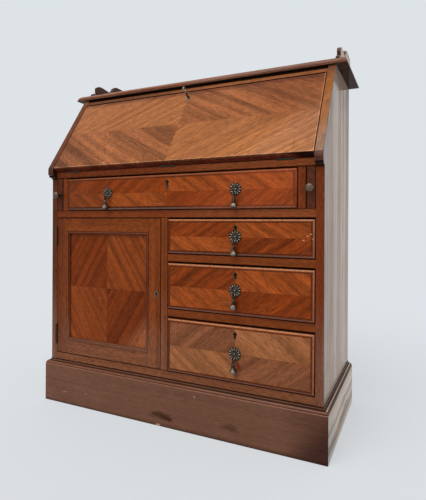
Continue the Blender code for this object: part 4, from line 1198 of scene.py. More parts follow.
class DESK_OT_fall(bpy.types.Operator):
    """Dress the sloping fall in quarter-matched veneer"""

    bl_idname = "desk.fall"
    bl_label = "Fall"

    def execute(self, context):
        sizes, finishes = context.scene.desk_sizes, context.scene.desk_finishes
        grime = tuple(finishes.grime)
        tones = (two_tones(finishes.fall_gold, 0.26), two_tones(finishes.fall_brown, 0.34))
        centre = FALL_FRAME @ Vector((0, FALL_JOIN, 0))
        half_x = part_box("fall_flap")[1].x
        pale, crack = linear(214, 158, 124), linear(58, 30, 18)

        def mark(x, up, half_width, half_height, tone, strength, ragged, softness=0.4, lean=0.0):
            return face_spot(x, -FALL_T, up - FALL_JOIN, half_width, half_height, tone, strength, ragged,
                             softness, lean)

        def from_edge(direction, edge, reach, *looks):
            return past(direction, direction.dot(Vector(edge)) - reach, *looks)

        marks = (
            mark(-0.2126, 0.0104, 0.006, 0.0026, pale, 0.7, 1.2),
            mark(0.1981, 0.0071, 0.005, 0.0022, pale, 0.6, 1.2),
            mark(0.1035, 0.046, 0.0035, 0.0018, pale, 0.5, 1.2),
            mark(0.354, 0.030, 0.0008, 0.034, crack, 0.55, 0.6),
            mark(0.2537, 0.0604, 0.0009, 0.048, crack, 0.6, 0.7, 0.4, -0.606),
            mark(0.236, 0.088, 0.0008, 0.016, crack, 0.5, 0.7, 0.4, -1.1),
            # Painted shade at the right end of the fall's foot, beside the hinge.
            mark(0.372, -0.001, 0.052, 0.0036, linear(22, 11, 8), 0.75, 0.25, 0.35),
        )
        top = FALL_L - FALL_JOIN
        foot = 0.6 * MM - FALL_JOIN
        key_up = (FALL_FRAME.inverted() @ KEY_SEAT).y - FALL_JOIN
        rim_up, rim_right = Vector((0, -1, 3)).normalized(), Vector((3, -1, 0)).normalized()
        rim_left = Vector((-rim_right.x, rim_right.y, 0))
        below = Vector((0, 1, -3)).normalized()
        # More painted shade at the right end of the foot.
        dark_patch = spot((0.388, -9 * MM, foot), (0.034, 0.013, 0.0035), linear(24, 13, 12), 0.85, 0.3, 0.4)
        strips = [
            past(DOWN_RIGHT, 0.34, linear(204, 132, 66), 0.2, 0.2, 1.0),
            past(DOWN_LEFT, 0.37, linear(84, 46, 32), 0.5, 0.14, 1.0),
            past(UP_RIGHT, 0.3, linear(112, 56, 30), 0.38, 0.2, 1.0),
            # Painted shade along the top of the fall, below the slope rail.
            past(UP, top - 7 * MM, linear(88, 42, 28), 0.6, 14 * MM, 1.0),
            # A painted highlight on the arris of the foot.
            past(DOWN, FALL_JOIN - 3.4 * MM, linear(204, 150, 112), 0.55, 0.6 * MM, 1.0),
            # Painted shade on the foot, whose face looks down.
            past(DOWN, FALL_JOIN - 1.9 * MM, linear(86, 42, 24), 0.9, 0.4 * MM, 0.1),
            # Painted shade on the back part of the foot, over the bed.
            past(below, below.dot(Vector((0, -FALL_T * 0.62, foot))), linear(84, 33, 22), 0.92, 1.0 * MM, 0.0),
            # A painted line of shade in the gap under the slope rail.
            from_edge(rim_up, (0, -FALL_T, top), 2.1 * MM, linear(16, 6, 4), 0.92, 0.6 * MM, 0.1),
            # A painted highlight beside the right edge.
            (RIGHT, half_x - 3.2 * MM, half_x - 1.8 * MM, linear(196, 138, 110), 0.5, 0.6 * MM, 1.0),
            # Painted shade in the gaps beside the sides.
            from_edge(rim_right, (half_x, -FALL_T, 0), 1.1 * MM, grime, 0.8, 0.5 * MM, 0.2),
            from_edge(rim_left, (-half_x, -FALL_T, 0), 1.3 * MM, grime, 0.8, 0.6 * MM, 0.2),
        ]
        lip = 0.4 * MM
        material = veneer_finish(
            "Fall", centre, half_x, FALL_JOIN, math.radians(31), tones, (7 * MM, 22 * MM), 41.0,
            tilt=SLOPE - math.pi / 2, contrasts=(1.0, 1.5), depth=FALL_T,
            lipped=((UP, top - lip), (RIGHT, half_x - lip), (LEFT, half_x - lip)),
            spots=(*marks, keyhole_shade(0.0, -FALL_T, key_up), dark_patch), strips=strips)
        dress("fall_flap", "Fall", material, "veneer", sizes.arris)
        return {"FINISHED"}


class DESK_OT_door(bpy.types.Operator):
    """Dress the cupboard door's moulded frame and its veneered panel"""

    bl_idname = "desk.door"
    bl_label = "Door"

    def execute(self, context):
        sizes, finishes = context.scene.desk_sizes, context.scene.desk_finishes
        material = framed_finish("Door_Frame", corners("door_frame"), 40.5 * MM, two_tones(finishes.stile), 51.0)
        dress("door_frame", "Door_Frame", material, "frame_wood", sizes.fine_arris)
        low, high = corners("door_panel")
        centre, half_x, half_z = back_centre(low, high)
        deep = two_tones(toned(finishes.veneer_deep, 0.8), 0.34)
        pale = two_tones(toned(finishes.veneer_pale, 0.76), 0.34)
        panel = veneer_finish(
            "Door_Panel", centre, half_x, half_z, math.radians(58), (deep, pale), (15 * MM, 15 * MM), 52.0,
            contrasts=(1.3, 1.3), depth=8 * MM,
            strips=[past(DOWN_RIGHT, 0.185, linear(160, 98, 62), 0.5, 0.05, 1.0)])
        dress("door_panel", "Door_Panel", panel, "veneer", 0)
        return {"FINISHED"}


DRAWER_SLANTS = {"top": 36, "high": 34, "middle": 36, "low": 38}  # of the veneer's grain, in degrees
# Painted shade on the dark sides of a drawer's moulding.
SHADED_SIDE = linear(64, 27, 12)

# Side of the moulding, the tone and strength of its painted shade, the tone and strength of the painted highlight
# on its facet
EDGE_LIGHT_AND_SHADE = (
    ("Top", SHADED_SIDE, 0.3, linear(212, 146, 102), 0.66),
    ("Right", SHADED_SIDE, 0.5, linear(180, 112, 84), 0.6),
    ("Bottom", SHADED_SIDE, 0.5, linear(134, 94, 80), 0.65),
    ("Left", SHADED_SIDE, 0.5, SHADED_SIDE, 0.0),
)
TOP_EDGE_LIGHT_AND_SHADE = (
    ("Top", SHADED_SIDE, 0.3, linear(176, 106, 70), 0.6),
    ("Right", linear(46, 18, 9), 0.85, linear(120, 62, 40), 0.35),
    ("Bottom", linear(52, 26, 18), 0.7, linear(140, 108, 94), 0.6),
    ("Left", SHADED_SIDE, 0.5, SHADED_SIDE, 0.0),
)


class DESK_OT_drawers(bpy.types.Operator):
    """Dress the four drawer fronts and their trays"""

    bl_idname = "desk.drawers"
    bl_label = "Drawers"

    def execute(self, context):
        sizes, finishes = context.scene.desk_sizes, context.scene.desk_finishes
        deep, pale = two_tones(finishes.veneer_deep, 0.36), two_tones(finishes.veneer_pale, 0.34)
        tones = {"top": (two_tones(toned(finishes.veneer_deep, 1.12), 0.36), pale),
                 "high": (deep, pale), "middle": (deep, pale),
                 "low": (two_tones(finishes.faded_deep, 0.28), two_tones(finishes.faded_pale, 0.28))}
        chip, handle_shadow, crack = linear(214, 166, 132), linear(112, 34, 16), linear(66, 26, 10)
        face = -DRAWER_STEP
        chips = ((0.1755, -0.004, 0.0036), (0.1850, 0.0065, 0.0030), (0.1925, 0.011, 0.0034),
                 (0.1965, -0.001, 0.0014))
        marks = {
            "high": [face_spot(x, face, z, wide, 0.0015, chip, 0.8, 1.3, 0.5) for x, z, wide in chips],
            "middle": [face_spot(0.0816, face, 0.0290, 0.0009, 0.024, crack, 0.6, 0.6, 0.5, 0.37)],
            # Painted shadow of the drop, below and to the right of the low drawer's handle.
            "low": [face_spot(0.0105, face, -0.0290, 0.0056, 0.0125, handle_shadow, 0.85, 0.9, 0.5, 0.42)],
        }
        shades = {"top": [past(LEFT, 0.33, linear(88, 44, 26), 0.36, 0.14, 1.0),
                          past(DOWN_RIGHT, 0.16, linear(176, 82, 42), 0.32, 0.14, 1.0)]}
        inside = two_tones(finishes.inside, 0.25)
        for i, name in enumerate(DRAWERS):
            centre, half_x, half_z = back_centre(*corners(f"{name}_drawer_front"))
            hole = keyhole_shade(-centre[0] if name == "top" else 0.0, face, half_z - KEYHOLE_DROP)
            label = f"{name.title()}_Drawer"
            material = veneer_finish(
                f"{label}_Front", centre, half_x, half_z, math.radians(DRAWER_SLANTS[name]), tones[name],
                (19 * MM, 19 * MM), 61.0 + 3.7 * i, edge=9 * MM, contrasts=(1.3, 1.2),
                light_and_shade=TOP_EDGE_LIGHT_AND_SHADE if name == "top" else EDGE_LIGHT_AND_SHADE,
                spots=(*marks.get(name, ()), hole), strips=shades.get(name, ()))
            dress(f"{name}_drawer_front", f"{label}_Front", material, "veneer", sizes.fine_arris)
            tray = board_finish(f"{label}_Tray", "Y", inside, corners(f"{name}_drawer_box"), 71.0 + 2.3 * i,
                                band=20 * MM, polish=0.1, **BARE_WOOD)
            dress(f"{name}_drawer_box", f"{label}_Tray", tray, "inside_wood", sizes.fine_arris)
        return {"FINISHED"}


# Radius and height above the seat, in millimetres
KNOB_PROFILE = (
    (6.6, 0.3), (7.2, 1.0), (6.9, 2.4), (5.2, 3.4), (4.5, 5.5), (4.7, 8.0), (5.6, 10.4), (7.8, 12.4), (9.9, 14.4),
    (10.9, 17.0), (10.9, 19.0), (9.9, 21.6), (7.6, 23.7), (4.2, 24.9), (1.2, 25.25),
)


class DESK_OT_lopers(bpy.types.Operator):
    """Dress the two lopers and turn their knobs"""

    bl_idname = "desk.lopers"
    bl_label = "Lopers"

    def execute(self, context):
        sizes, finishes = context.scene.desk_sizes, context.scene.desk_finishes
        tones = two_tones(finishes.loper_wood, 0.35)
        for side, seed in (("left", 81.0), ("right", 82.7)):
            node = f"loper_{side}"
            label = f"Loper_{side.title()}"
            low, high = corners(node)
            edges = front_lines(low, high, 0, tuple(finishes.grime), 1.2 * MM)
            material = board_finish(label, "Y", tones, (low, high), seed, band=5 * MM, polish=0.3,
                                    strips=edges)
            dress(node, label, material, "dark_wood", sizes.fine_arris)
            low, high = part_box(f"{node}_knob")
            seat = Vector(((low.x + high.x) / 2, high.y + 0.3 * MM, (low.z + high.z) / 2))
            placing = Matrix.Translation(seat) @ Matrix.Rotation(math.pi / 2, 4, "X")
            profile = [(radius * MM, height * MM) for radius, height in KNOB_PROFILE]
            work = bmesh.new()
            add_turned(work, curve_through(profile, 3), placing, 48)
            close_solids(work)
            metal = metal_finish(f"{label}_Knob", linear(116, 94, 78), linear(38, 26, 20), high.y, low.y,
                                 clouds=3.0)
            new_piece(f"{label}_Knob", smooth_mesh(work, f"{label}_Knob"), metal, BODY_OF[f"{node}_knob"],
                      "aged_brass", f"{node}_knob")
        return {"FINISHED"}


def finish_tree(bench, geometry, metal, out):
    """Ends a geometry tree in plain, real meshes with their material."""
    plain = bench.put("GeometryNodeRealizeInstances", Geometry=geometry).outputs[0]
    bench.feed(out.inputs[0], bench.put("GeometryNodeSetMaterial", Geometry=plain, Material=metal).outputs[0])


def rosette_tree():
    """Raised petals, beads and ribs round a small boss, lying in XY with Z outwards."""
    bench, given, out = new_group("Rosette", "GeometryNodeTree", (
        (NUMBER, "Radius", 0.0176), ("NodeSocketInt", "Petals", 12), (NUMBER, "Bead Radius", 0.0012),
        (NUMBER, "Rise", 0.0042), (VECTOR, "Centre", (0, 0, 0)), ("NodeSocketMaterial", "Metal", None),
    ), (("NodeSocketGeometry", "Geometry"),))
    radius, rise, petals, bead = (given[name] for name in ("Radius", "Rise", "Petals", "Bead Radius"))

    def wide(share):
        return bench.times(radius, share)

    def tall(share):
        return bench.times(rise, share)

    def moved(geometry, **how):
        return bench.put("GeometryNodeTransform", Geometry=geometry, **how).outputs[0]

    def raised(geometry, share):
        return moved(geometry, Translation=bench.vector(0.0, 0.0, tall(share)))

    def circle(steps, reach):
        return bench.put("GeometryNodeCurvePrimitiveCircle", Resolution=steps, Radius=wide(reach)).outputs["Curve"]

    def ring(reach, thick, steps, height):
        tube = bench.put("GeometryNodeCurveToMesh", Curve=circle(steps, reach), Profile_Curve=circle(8, thick))
        return raised(tube.outputs[0], height)

    def egg(x, y, z):
        ball = bench.put("GeometryNodeMeshIcoSphere", Radius=1.0, Subdivisions=2).outputs["Mesh"]
        return moved(ball, Scale=bench.vector(x, y, z))

    def round_about(geometry, reach, height, tilt=0.0):
        places = bench.put("GeometryNodeMeshCircle", Vertices=petals, Radius=wide(reach)).outputs[0]
        x, y, _ = bench.split(bench.put("GeometryNodeInputPosition").outputs[0])
        angle = bench.maths("ARCTAN2", y, x)
        spun = bench.put("GeometryNodeInstanceOnPoints", Points=places,
                         Instance=moved(geometry, Rotation=(0, tilt, 0)), Rotation=bench.vector(0.0, 0.0, angle))
        return raised(spun.outputs[0], height)

    def half_step(geometry):
        return moved(geometry, Rotation=bench.vector(0.0, 0.0, bench.over(math.pi, petals)))

    def web(kind, height, **sizes):
        return raised(bench.put(kind, {"fill_type": "NGON"}, **sizes).outputs["Mesh"], height)

    boss = bench.put("GeometryNodeMeshUVSphere", Segments=20, Rings=10, Radius=wide(0.13)).outputs["Mesh"]
    parts = (
        round_about(egg(wide(0.235), wide(0.096), tall(0.38)), 0.755, 0.52, 0.13),
        half_step(round_about(egg(bead, bead, bead), 0.90, 0.30)),
        half_step(round_about(egg(wide(0.13), wide(0.055), tall(0.24)), 0.40, 0.50)),
        ring(0.545, 0.042, 40, 0.50),
        ring(0.26, 0.045, 28, 0.52),
        raised(boss, 0.50),
        web("GeometryNodeMeshCylinder", 0.16, Vertices=48, Radius=wide(0.86), Depth=tall(0.30)),
        web("GeometryNodeMeshCone", 0.20, Vertices=40, Radius_Top=wide(0.20), Radius_Bottom=wide(0.60),
            Depth=tall(0.24)),
    )
    joined = bench.put("GeometryNodeJoinGeometry")
    for part in parts:
        bench.feed(joined.inputs[0], part)
    upright = moved(joined.outputs[0], Rotation=(math.pi / 2, 0, 0), Translation=given["Centre"])
    smooth = bench.put("GeometryNodeSetShadeSmooth", Geometry=upright).outputs[0]
    finish_tree(bench, smooth, given["Metal"], out)
    return bench.tree


def grown_mesh(tree, label, carrier=None, **inputs):
    """The plain mesh that a geometry tree makes from its named inputs."""
    helper, modifier = helper_for(carrier or bpy.data.meshes.new("Growing"), "NODES")
    modifier.node_group = tree
    names = {item.name: item.identifier for item in tree.interface.items_tree if item.in_out == "INPUT"}
    for name, value in inputs.items():
        modifier[names[name.replace("_", " ")]] = value
    return plain_mesh(helper, label)


# Radius and drop below the pin, in millimetres
DROP_PROFILE = (
    (1.5, 5.0), (2.3, 5.8), (3.9, 6.6), (4.2, 7.4), (3.3, 8.4), (2.9, 9.6), (3.5, 10.6), (3.5, 11.4), (3.0, 12.2),
    (3.6, 13.2), (3.7, 14.0), (3.2, 14.8), (3.9, 15.8), (4.0, 16.6), (3.4, 17.4), (4.1, 18.4), (4.2, 19.2),
    (3.5, 20.0), (4.0, 21.0), (4.0, 21.8), (3.4, 22.8), (5.0, 23.9), (5.4, 24.8), (4.4, 25.8), (4.9, 27.0),
    (7.0, 29.2), (8.8, 31.8), (9.5, 34.2), (9.2, 36.6), (7.8, 38.5), (5.4, 39.7), (2.9, 40.3), (0.8, 40.5),
)


class DESK_OT_handles(bpy.types.Operator):
    """Make the pierced rosettes with their ears and pins, and the drops that swing on them"""

    bl_idname = "desk.handles"
    bl_label = "Drop handles"

    def execute(self, context):
        sizes, finishes = context.scene.desk_sizes, context.scene.desk_finishes
        tree = rosette_tree()
        rubbed, dull = tuple(finishes.bronze), tuple(finishes.bronze_patina)
        for name, body in HANDLES:
            plate, drop = f"{name}_plate", f"{name}_drop"
            low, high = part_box(plate)
            pivot = Vector(JOINTS[f"{body}_hinge"]["pos_m"])
            centre = Vector((pivot.x, high.y, (low.z + high.z) / 2))
            # Painted black shade in the gap at the pivot, between the drop's arms.
            metal = metal_finish(f"{name}_bronze", rubbed, dull, high.y - 2.3 * MM, high.y - 4.0 * MM,
                                 rubbing=0.9, metallic=0.75, clouds=2.0,
                                 shaded_place=(pivot.x, pivot.y, pivot.z - 1.2 * MM))
            label = name.title()
            rosette = grown_mesh(tree, f"{label}_Rosette", Radius=sizes.rosette_radius,
                                 Petals=sizes.rosette_lobes, Bead_Radius=sizes.bead_radius, Centre=centre,
                                 Metal=metal)
            work = bmesh.new()
            work.from_mesh(rosette)
            for side in (-1, 1):
                ear = Matrix.Translation((pivot.x + side * 3.7 * MM, 0, pivot.z))
                outline = [(pivot.y - 2.0 * MM * math.sin(t), 2.0 * MM * math.cos(t))
                           for t in (math.pi * k / 10 for k in range(11))]
                outline += [(high.y - 0.4 * MM, -3.4 * MM), (high.y - 0.4 * MM, 3.4 * MM)]
                turn = ear @ Matrix.Rotation(-math.pi / 2, 4, "Z") @ Matrix.Translation((0, -0.7 * MM, 0))
                add_prism(work, [(-y, z) for y, z in outline], 1.4 * MM, turn)
                tip = Vector((pivot.x + side * 4.7 * MM, pivot.y, pivot.z))
                add_ball(work, tip, (0.9 * MM, 1.3 * MM, 1.3 * MM), Matrix())
            pin = Matrix.Translation(pivot) @ Matrix.Rotation(math.pi / 2, 4, "Y")
            add_turned(work, [(0.9 * MM, -4.6 * MM), (0.9 * MM, 4.6 * MM)], pin, 16)
            close_solids(work)
            new_piece(f"{label}_Rosette", smooth_mesh(work, f"{label}_Rosette"), metal, BODY_OF[plate], "bronze",
                      plate)

            work = bmesh.new()
            profile = curve_through([(radius * MM, -down * MM) for radius, down in DROP_PROFILE], 2)
            place = Matrix.Translation(pivot)
            add_turned(work, profile, place, 40)
            for side in (-1, 1):
                foot, eye = Vector((side * 0.8 * MM, 0, -6.4 * MM)), Vector((side * 2.0 * MM, 0, 0))
                arm = eye - foot
                along = place @ Matrix.Translation(foot) @ arm.to_track_quat("Z", "Y").to_matrix().to_4x4()
                reach = arm.length
                add_turned(work, [(1.0 * MM, 0), (0.85 * MM, reach * 0.3), (0.85 * MM, reach * 0.7),
                                  (1.0 * MM, reach)], along, 12)
                eyelet = place @ Matrix.Translation(eye) @ Matrix.Rotation(math.pi / 2, 4, "Y")
                add_ring(work, 1.6 * MM, 0.55 * MM, eyelet, 20, 8)
            close_solids(work)
            # Its patina darkens the sides of the bell, which stand less proud, and brightens its front: in part
            # real patina, in part a painted reflection.
            drop_metal = metal_finish(f"{name}_drop_bronze", rubbed, dull, pivot.y - 1.8 * MM,
                                      pivot.y - 8.6 * MM, rubbing=0.56, metallic=0.75, clouds=2.7)
            new_piece(f"{label}_Drop", smooth_mesh(work, f"{label}_Drop"), drop_metal, BODY_OF[drop], "bronze",
                      drop)
        return {"FINISHED"}


def keyhole_outline(grow, drop=0.0, steps=20):
    """The outline of a keyhole, grown outwards by a length, with its round part at the origin."""
    radius, half, foot = 3.8 * MM + grow, 1.8 * MM + grow, -11 * MM - grow - drop
    start = math.asin(min(1, half / radius))
    points = []
    for i in range(steps + 1):
        angle = -math.pi / 2 + start + (math.tau - 2 * start) * i / steps
        points.append((radius * math.cos(angle), radius * math.sin(angle)))
    corner = min(half, 1.2 * MM + grow)
    for side in (-1, 1):
        arc = [(side * (half - corner + corner * math.cos(t)), foot + corner - corner * math.sin(t))
               for t in (math.pi / 2 * k / 4 for k in range(5))]
        points += arc if side == -1 else arc[::-1]
    return points


class DESK_OT_linings(bpy.types.Operator):
    """Make the metal linings of the keyholes in the drawers, the door and the fall"""

    bl_idname = "desk.linings"
    bl_label = "Keyhole linings"

    def execute(self, context):
        sizes, finishes = context.scene.desk_sizes, context.scene.desk_finishes
        places = []
        for name in DRAWERS:
            low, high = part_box(f"{name}_drawer_front")
            x = 0 if name == "top" else (low.x + high.x) / 2
            place = Matrix.Translation((x, low.y, high.z - KEYHOLE_DROP))
            places.append((f"{name.title()}_Drawer", f"{name}_drawer_front", place))
        low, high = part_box("door_frame")
        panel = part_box("door_panel")
        door_face = low.y + 1.5 * MM
        place = Matrix.Translation((high.x - KEYHOLE_INSET, door_face, (panel[0].z + panel[1].z) / 2))
        places.append(("Door", "door_frame", place))
        turn = Matrix.Translation(KEY_SEAT) @ Matrix.Rotation(SLOPE - math.pi / 2, 4, "X")
        places.append(("Fall", "fall_flap", turn))
        rim, rise = sizes.lining_rim, sizes.lining_rise
        rubbed_tones = {"Fall": tuple(finishes.steel), "Door": linear(128, 116, 98)}
        for label, node, placing in places:
            work = bmesh.new()
            tail = 8 * MM if label == "Top_Drawer" else 0.0
            outer = keyhole_outline(rim, tail)
            inner = keyhole_outline(-0.25 * MM)
            add_prism(work, outer, rise, placing @ Matrix.Translation((0, -rise, 0)), inner)
            close_solids(work)
            chosen = [edge for edge in work.edges if edge.calc_face_angle(0) > SMOOTH_ANGLE]
            soften(work, chosen, 0.18 * MM, True)
            face = placing.translation.y
            rubbed = rubbed_tones.get(label, toned(finishes.brass, 0.55))
            metal = metal_finish(f"{label}_Lining", rubbed, toned(finishes.brass_patina, 0.6), face + 1.2 * MM,
                                 face - 0.6 * MM, rubbing=0.7, clouds=2.4)
            name = f"{label}_Keyhole_Lining"
            new_piece(name, smooth_mesh(work, name), metal, BODY_OF[node], "aged_brass")
        return {"FINISHED"}


# Radius and height above the seat, in millimetres
KEY_PROFILE = (
    (1.6, -16.2), (2.4, -15.6), (2.4, 3.2), (3.4, 3.7), (3.7, 4.6), (3.7, 5.9), (3.4, 6.8), (2.4, 7.3),
    (2.2, 18.0), (2.3, 19.0), (3.1, 19.5), (3.3, 20.3), (3.1, 21.1), (2.3, 21.6), (2.3, 24.6),
)


class DESK_OT_key(bpy.types.Operator):
    """Make the key that stands in the fall, with its collars, its ring bow and its bit"""

    bl_idname = "desk.key"
    bl_label = "Key"

    def execute(self, context):
        sizes, finishes = context.scene.desk_sizes, context.scene.desk_finishes
        placing = Matrix.Translation(KEY_SEAT) @ Matrix.Rotation(SLOPE, 4, "X")
        work = bmesh.new()
        add_turned(work, [(radius * MM, height * MM) for radius, height in KEY_PROFILE], placing, 28)
        bow = placing @ Matrix.Translation((0, 0, 32.1 * MM)) @ Matrix.Rotation(math.pi / 2, 4, "Y")
        thick = 1.7 * MM
        add_ring(work, sizes.key_bow_radius - thick, thick, bow, 40, 12, 0.85)
        add_slab(work, (-1 * MM, -6.8 * MM, -16.2 * MM), (1 * MM, -1.5 * MM, -11.4 * MM), placing)
        close_solids(work)
        metal = metal_finish("Key", tuple(finishes.steel), linear(46, 36, 27), KEY_SEAT.y - 15 * MM,
                             KEY_SEAT.y - 22 * MM, metallic=0.8, clouds=2.2)
        new_piece("Key", smooth_mesh(work, "Key"), metal, BODY_OF["fall_key"], "steel", "fall_key")
        return {"FINISHED"}


HINGES = tuple(f"fall_hinge_{i}" for i in (1, 2, 3)) + tuple(f"door_hinge_{i}" for i in (1, 2))


def fastener_tree():
    """A screw head on each point of a carrier, turned to the point's facing and spun at random."""
    bench, given, out = new_group("Fasteners", "GeometryNodeTree", (
        ("NodeSocketGeometry", "Geometry", None), ("NodeSocketObject", "Head", None), (NUMBER, "Radius", 0.0026),
        ("NodeSocketInt", "Seed", 7), ("NodeSocketMaterial", "Metal", None),
    ), (("NodeSocketGeometry", "Geometry"),))
    facing = bench.put("GeometryNodeInputNamedAttribute", {"data_type": "FLOAT_VECTOR"}, Name="facing").outputs[0]
    turn = bench.put("FunctionNodeAlignRotationToVector", {"axis": "Z"}, Vector=facing).outputs[0]
    spin = bench.put("FunctionNodeRandomValue", {"data_type": "FLOAT"}, Seed=given["Seed"])
    bench.feed(spin.inputs[2], 0.0)
    bench.feed(spin.inputs[3], math.tau)
    spun = bench.put("FunctionNodeRotateRotation", {"rotation_space": "LOCAL"}, Rotation=turn)
    bench.feed(spun.inputs[1], bench.vector(0.0, 0.0, spin.outputs[1]))
    head = bench.put("GeometryNodeObjectInfo", Object=given["Head"]).outputs["Geometry"]
    placed = bench.put("GeometryNodeInstanceOnPoints", Points=given["Geometry"], Instance=head,
                       Rotation=spun.outputs[0], Scale=bench.vector(*(given["Radius"],) * 3)).outputs[0]
    finish_tree(bench, placed, given["Metal"], out)
    return bench.tree


def slotted_head():
    """A slotted screw head of radius one, with its rim on the surface that it is sunk in."""
    steps, half_slot, slot_floor, crown, foot, crown_share = 12, 0.13, -0.16, 0.06, -0.3, 0.9
    start = math.asin(half_slot)
    work = bmesh.new()
    for side in (-1, 1):
        angles = (start + (math.pi - 2 * start) * i / steps for i in range(steps + 1))
        points = [(math.cos(angle), math.sin(angle) * side) for angle in angles]
        lower, rim = ([work.verts.new((x, y, z)) for x, y in points] for z in (foot, 0.0))
        top = [work.verts.new((x * crown_share, y * crown_share if abs(y) > half_slot * 1.01 else y, crown))
               for x, y in points]
        for a, b in ((lower, rim), (rim, top)):
            for i in range(steps):
                work.faces.new((a[i], a[i + 1], b[i + 1], b[i]))
            work.faces.new((a[steps], a[0], b[0], b[steps]))
        work.faces.new(top)
        work.faces.new(lower[::-1])
    add_slab(work, (-0.985, -half_slot, foot), (0.985, half_slot, slot_floor), Matrix())
    close_solids(work)
    mesh = bpy.data.meshes.new("Screw_Head")
    work.to_mesh(mesh)
    work.free()
    return mesh


def spaced(start, end, pitch):
    """Even places from one end to the other, about a pitch apart."""
    count = max(2, round((end - start) / pitch))
    return [start + (end - start) * k / count for k in range(count + 1)]


class DESK_OT_fasteners(bpy.types.Operator):
    """Dress the hinges, the lock and the bolt, and set the screws of the hinges and the back"""

    bl_idname = "desk.fasteners"
    bl_label = "Hinges and screws"

    def execute(self, context):
        sizes, finishes = context.scene.desk_sizes, context.scene.desk_finishes
        brass, patina = tuple(finishes.brass), tuple(finishes.brass_patina)
        screws = {}

        def sink(body, place, facing):
            screws.setdefault(body, []).append((Vector(place), Vector(facing)))

        hinge_metal = metal_finish("Hinge_Brass", linear(66, 50, 38), linear(32, 21, 15), -0.17, -0.19,
                                   rubbing=0.35, metallic=0.4)
        door_metal = metal_finish("Door_Hinge_Brass", linear(84, 50, 32), linear(60, 30, 18), -0.17, -0.19,
                                  rubbing=0.4, metallic=0.3)
        for hinge in HINGES:
            leaves, metal = ("bed_leaf", "flap_leaf"), hinge_metal
            if hinge.startswith("door"):
                leaves, metal = ("side_leaf", "door_leaf"), door_metal
            for leaf in leaves:
                node = f"{hinge}_{leaf}"
                dress(node, node.title(), metal, "aged_brass", 0)
        lock_metal = metal_finish("Lock_Brass", brass, patina, 0.0, -0.2)
        dress("fall_lock", "Fall_Lock", lock_metal, "aged_brass", sizes.fine_arris)
        bolt_metal = metal_finish("Bolt_Steel", tuple(finishes.steel), linear(90, 84, 76), 0.0, -0.1, rubbing=0.9)
        dress("fall_bolt", "Fall_Bolt", bolt_metal, "steel", sizes.fine_arris)

        for i in (1, 2, 3):
            low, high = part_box(f"fall_hinge_{i}_bed_leaf")
            for share, from_pin in ((0.17, 13 * MM), (0.5, 19 * MM), (0.83, 13 * MM)):
                x = low.x + (high.x - low.x) * share
                sink("desk", (x, PIN.y + from_pin, PIN.z), UP)
                sink("fall", FALL_FRAME @ Vector((x, from_pin, 0)), -OUTWARD)
        for x in (-24 * MM, 24 * MM):
            for along in (FALL_L - 40 * MM, FALL_L - 6 * MM):
                sink("fall", FALL_FRAME @ Vector((x, along, 0)), -OUTWARD)
        low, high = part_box("back_board")
        inset, backwards = 9 * MM, (0, 1, 0)
        for x in (low.x + inset, high.x - inset):
            for z in spaced(low.z + inset, high.z - inset, sizes.back_pitch):
                sink("desk", (x, high.y, z), backwards)
        for z in (low.z + inset, high.z - inset):
            for x in spaced(low.x + inset, high.x - inset, sizes.back_pitch)[1:-1]:
                sink("desk", (x, high.y, z), backwards)

        tree = fastener_tree()
        head = bpy.data.objects.new("Screw_Head", slotted_head())
        metal = metal_finish("Screw_Brass", brass, patina, 0.0, -0.2, rubbing=0.5)
        for body, places in screws.items():
            carrier = bpy.data.meshes.new("Screw_Places")
            carrier.from_pydata([place for place, _ in places], [], [])
            attribute = carrier.attributes.new("facing", "FLOAT_VECTOR", "POINT")
            for datum, (_, facing) in zip(attribute.data, places):
                datum.vector = facing
            label = f"Screws_Of_{body.title()}"
            mesh = grown_mesh(tree, label, carrier, Head=head, Radius=sizes.screw_radius, Seed=11, Metal=metal)
            new_piece(label, mesh, metal, body, "aged_brass")
        bpy.data.objects.remove(head)
        return {"FINISHED"}


CAMERA_PLACE = Vector((0.62311, -1.20018, 0.55998))
CAMERA_YAW = 0.4398
CAMERA_PITCH = -0.0002
CAMERA_ROLL = 0.0049
CAMERA_LENS = 36.329
CAMERA_SHIFT = (-0.0038, -0.0634)
FLOOR_REACH = 14


def seen_directly(bench):
    """One for rays that show a surface to the camera, straight or in a polish, and none for light."""
    ray = bench.put("ShaderNodeLightPath").outputs
    return bench.maths("ADD", ray["Is Camera Ray"], bench.maths(
        "ADD", ray["Is Glossy Ray"], ray["Is Transmission Ray"]), clamp=True)


def mixed_shader(bench, factor, first, second, output):
    """Mixes two shaders into an output node."""
    mixed = bench.put("ShaderNodeMixShader")
    for socket, value in zip(mixed.inputs, (factor, first, second)):
        bench.feed(socket, value)
    bench.feed(output.inputs[0], mixed.outputs[0])


def camera_matrix():
    """The camera's place and turn, as fitted to the photograph."""
    level = math.cos(CAMERA_PITCH)
    forward = Vector((-math.sin(CAMERA_YAW) * level, math.cos(CAMERA_YAW) * level, math.sin(CAMERA_PITCH)))
    right = Vector((math.cos(CAMERA_YAW), math.sin(CAMERA_YAW), 0))
    up = right.cross(forward)
    side = right * math.cos(CAMERA_ROLL) + up * math.sin(CAMERA_ROLL)
    top = up * math.cos(CAMERA_ROLL) - right * math.sin(CAMERA_ROLL)
    matrix = Matrix((side, top, -forward)).transposed().to_4x4()
    matrix.translation = CAMERA_PLACE
    return matrix


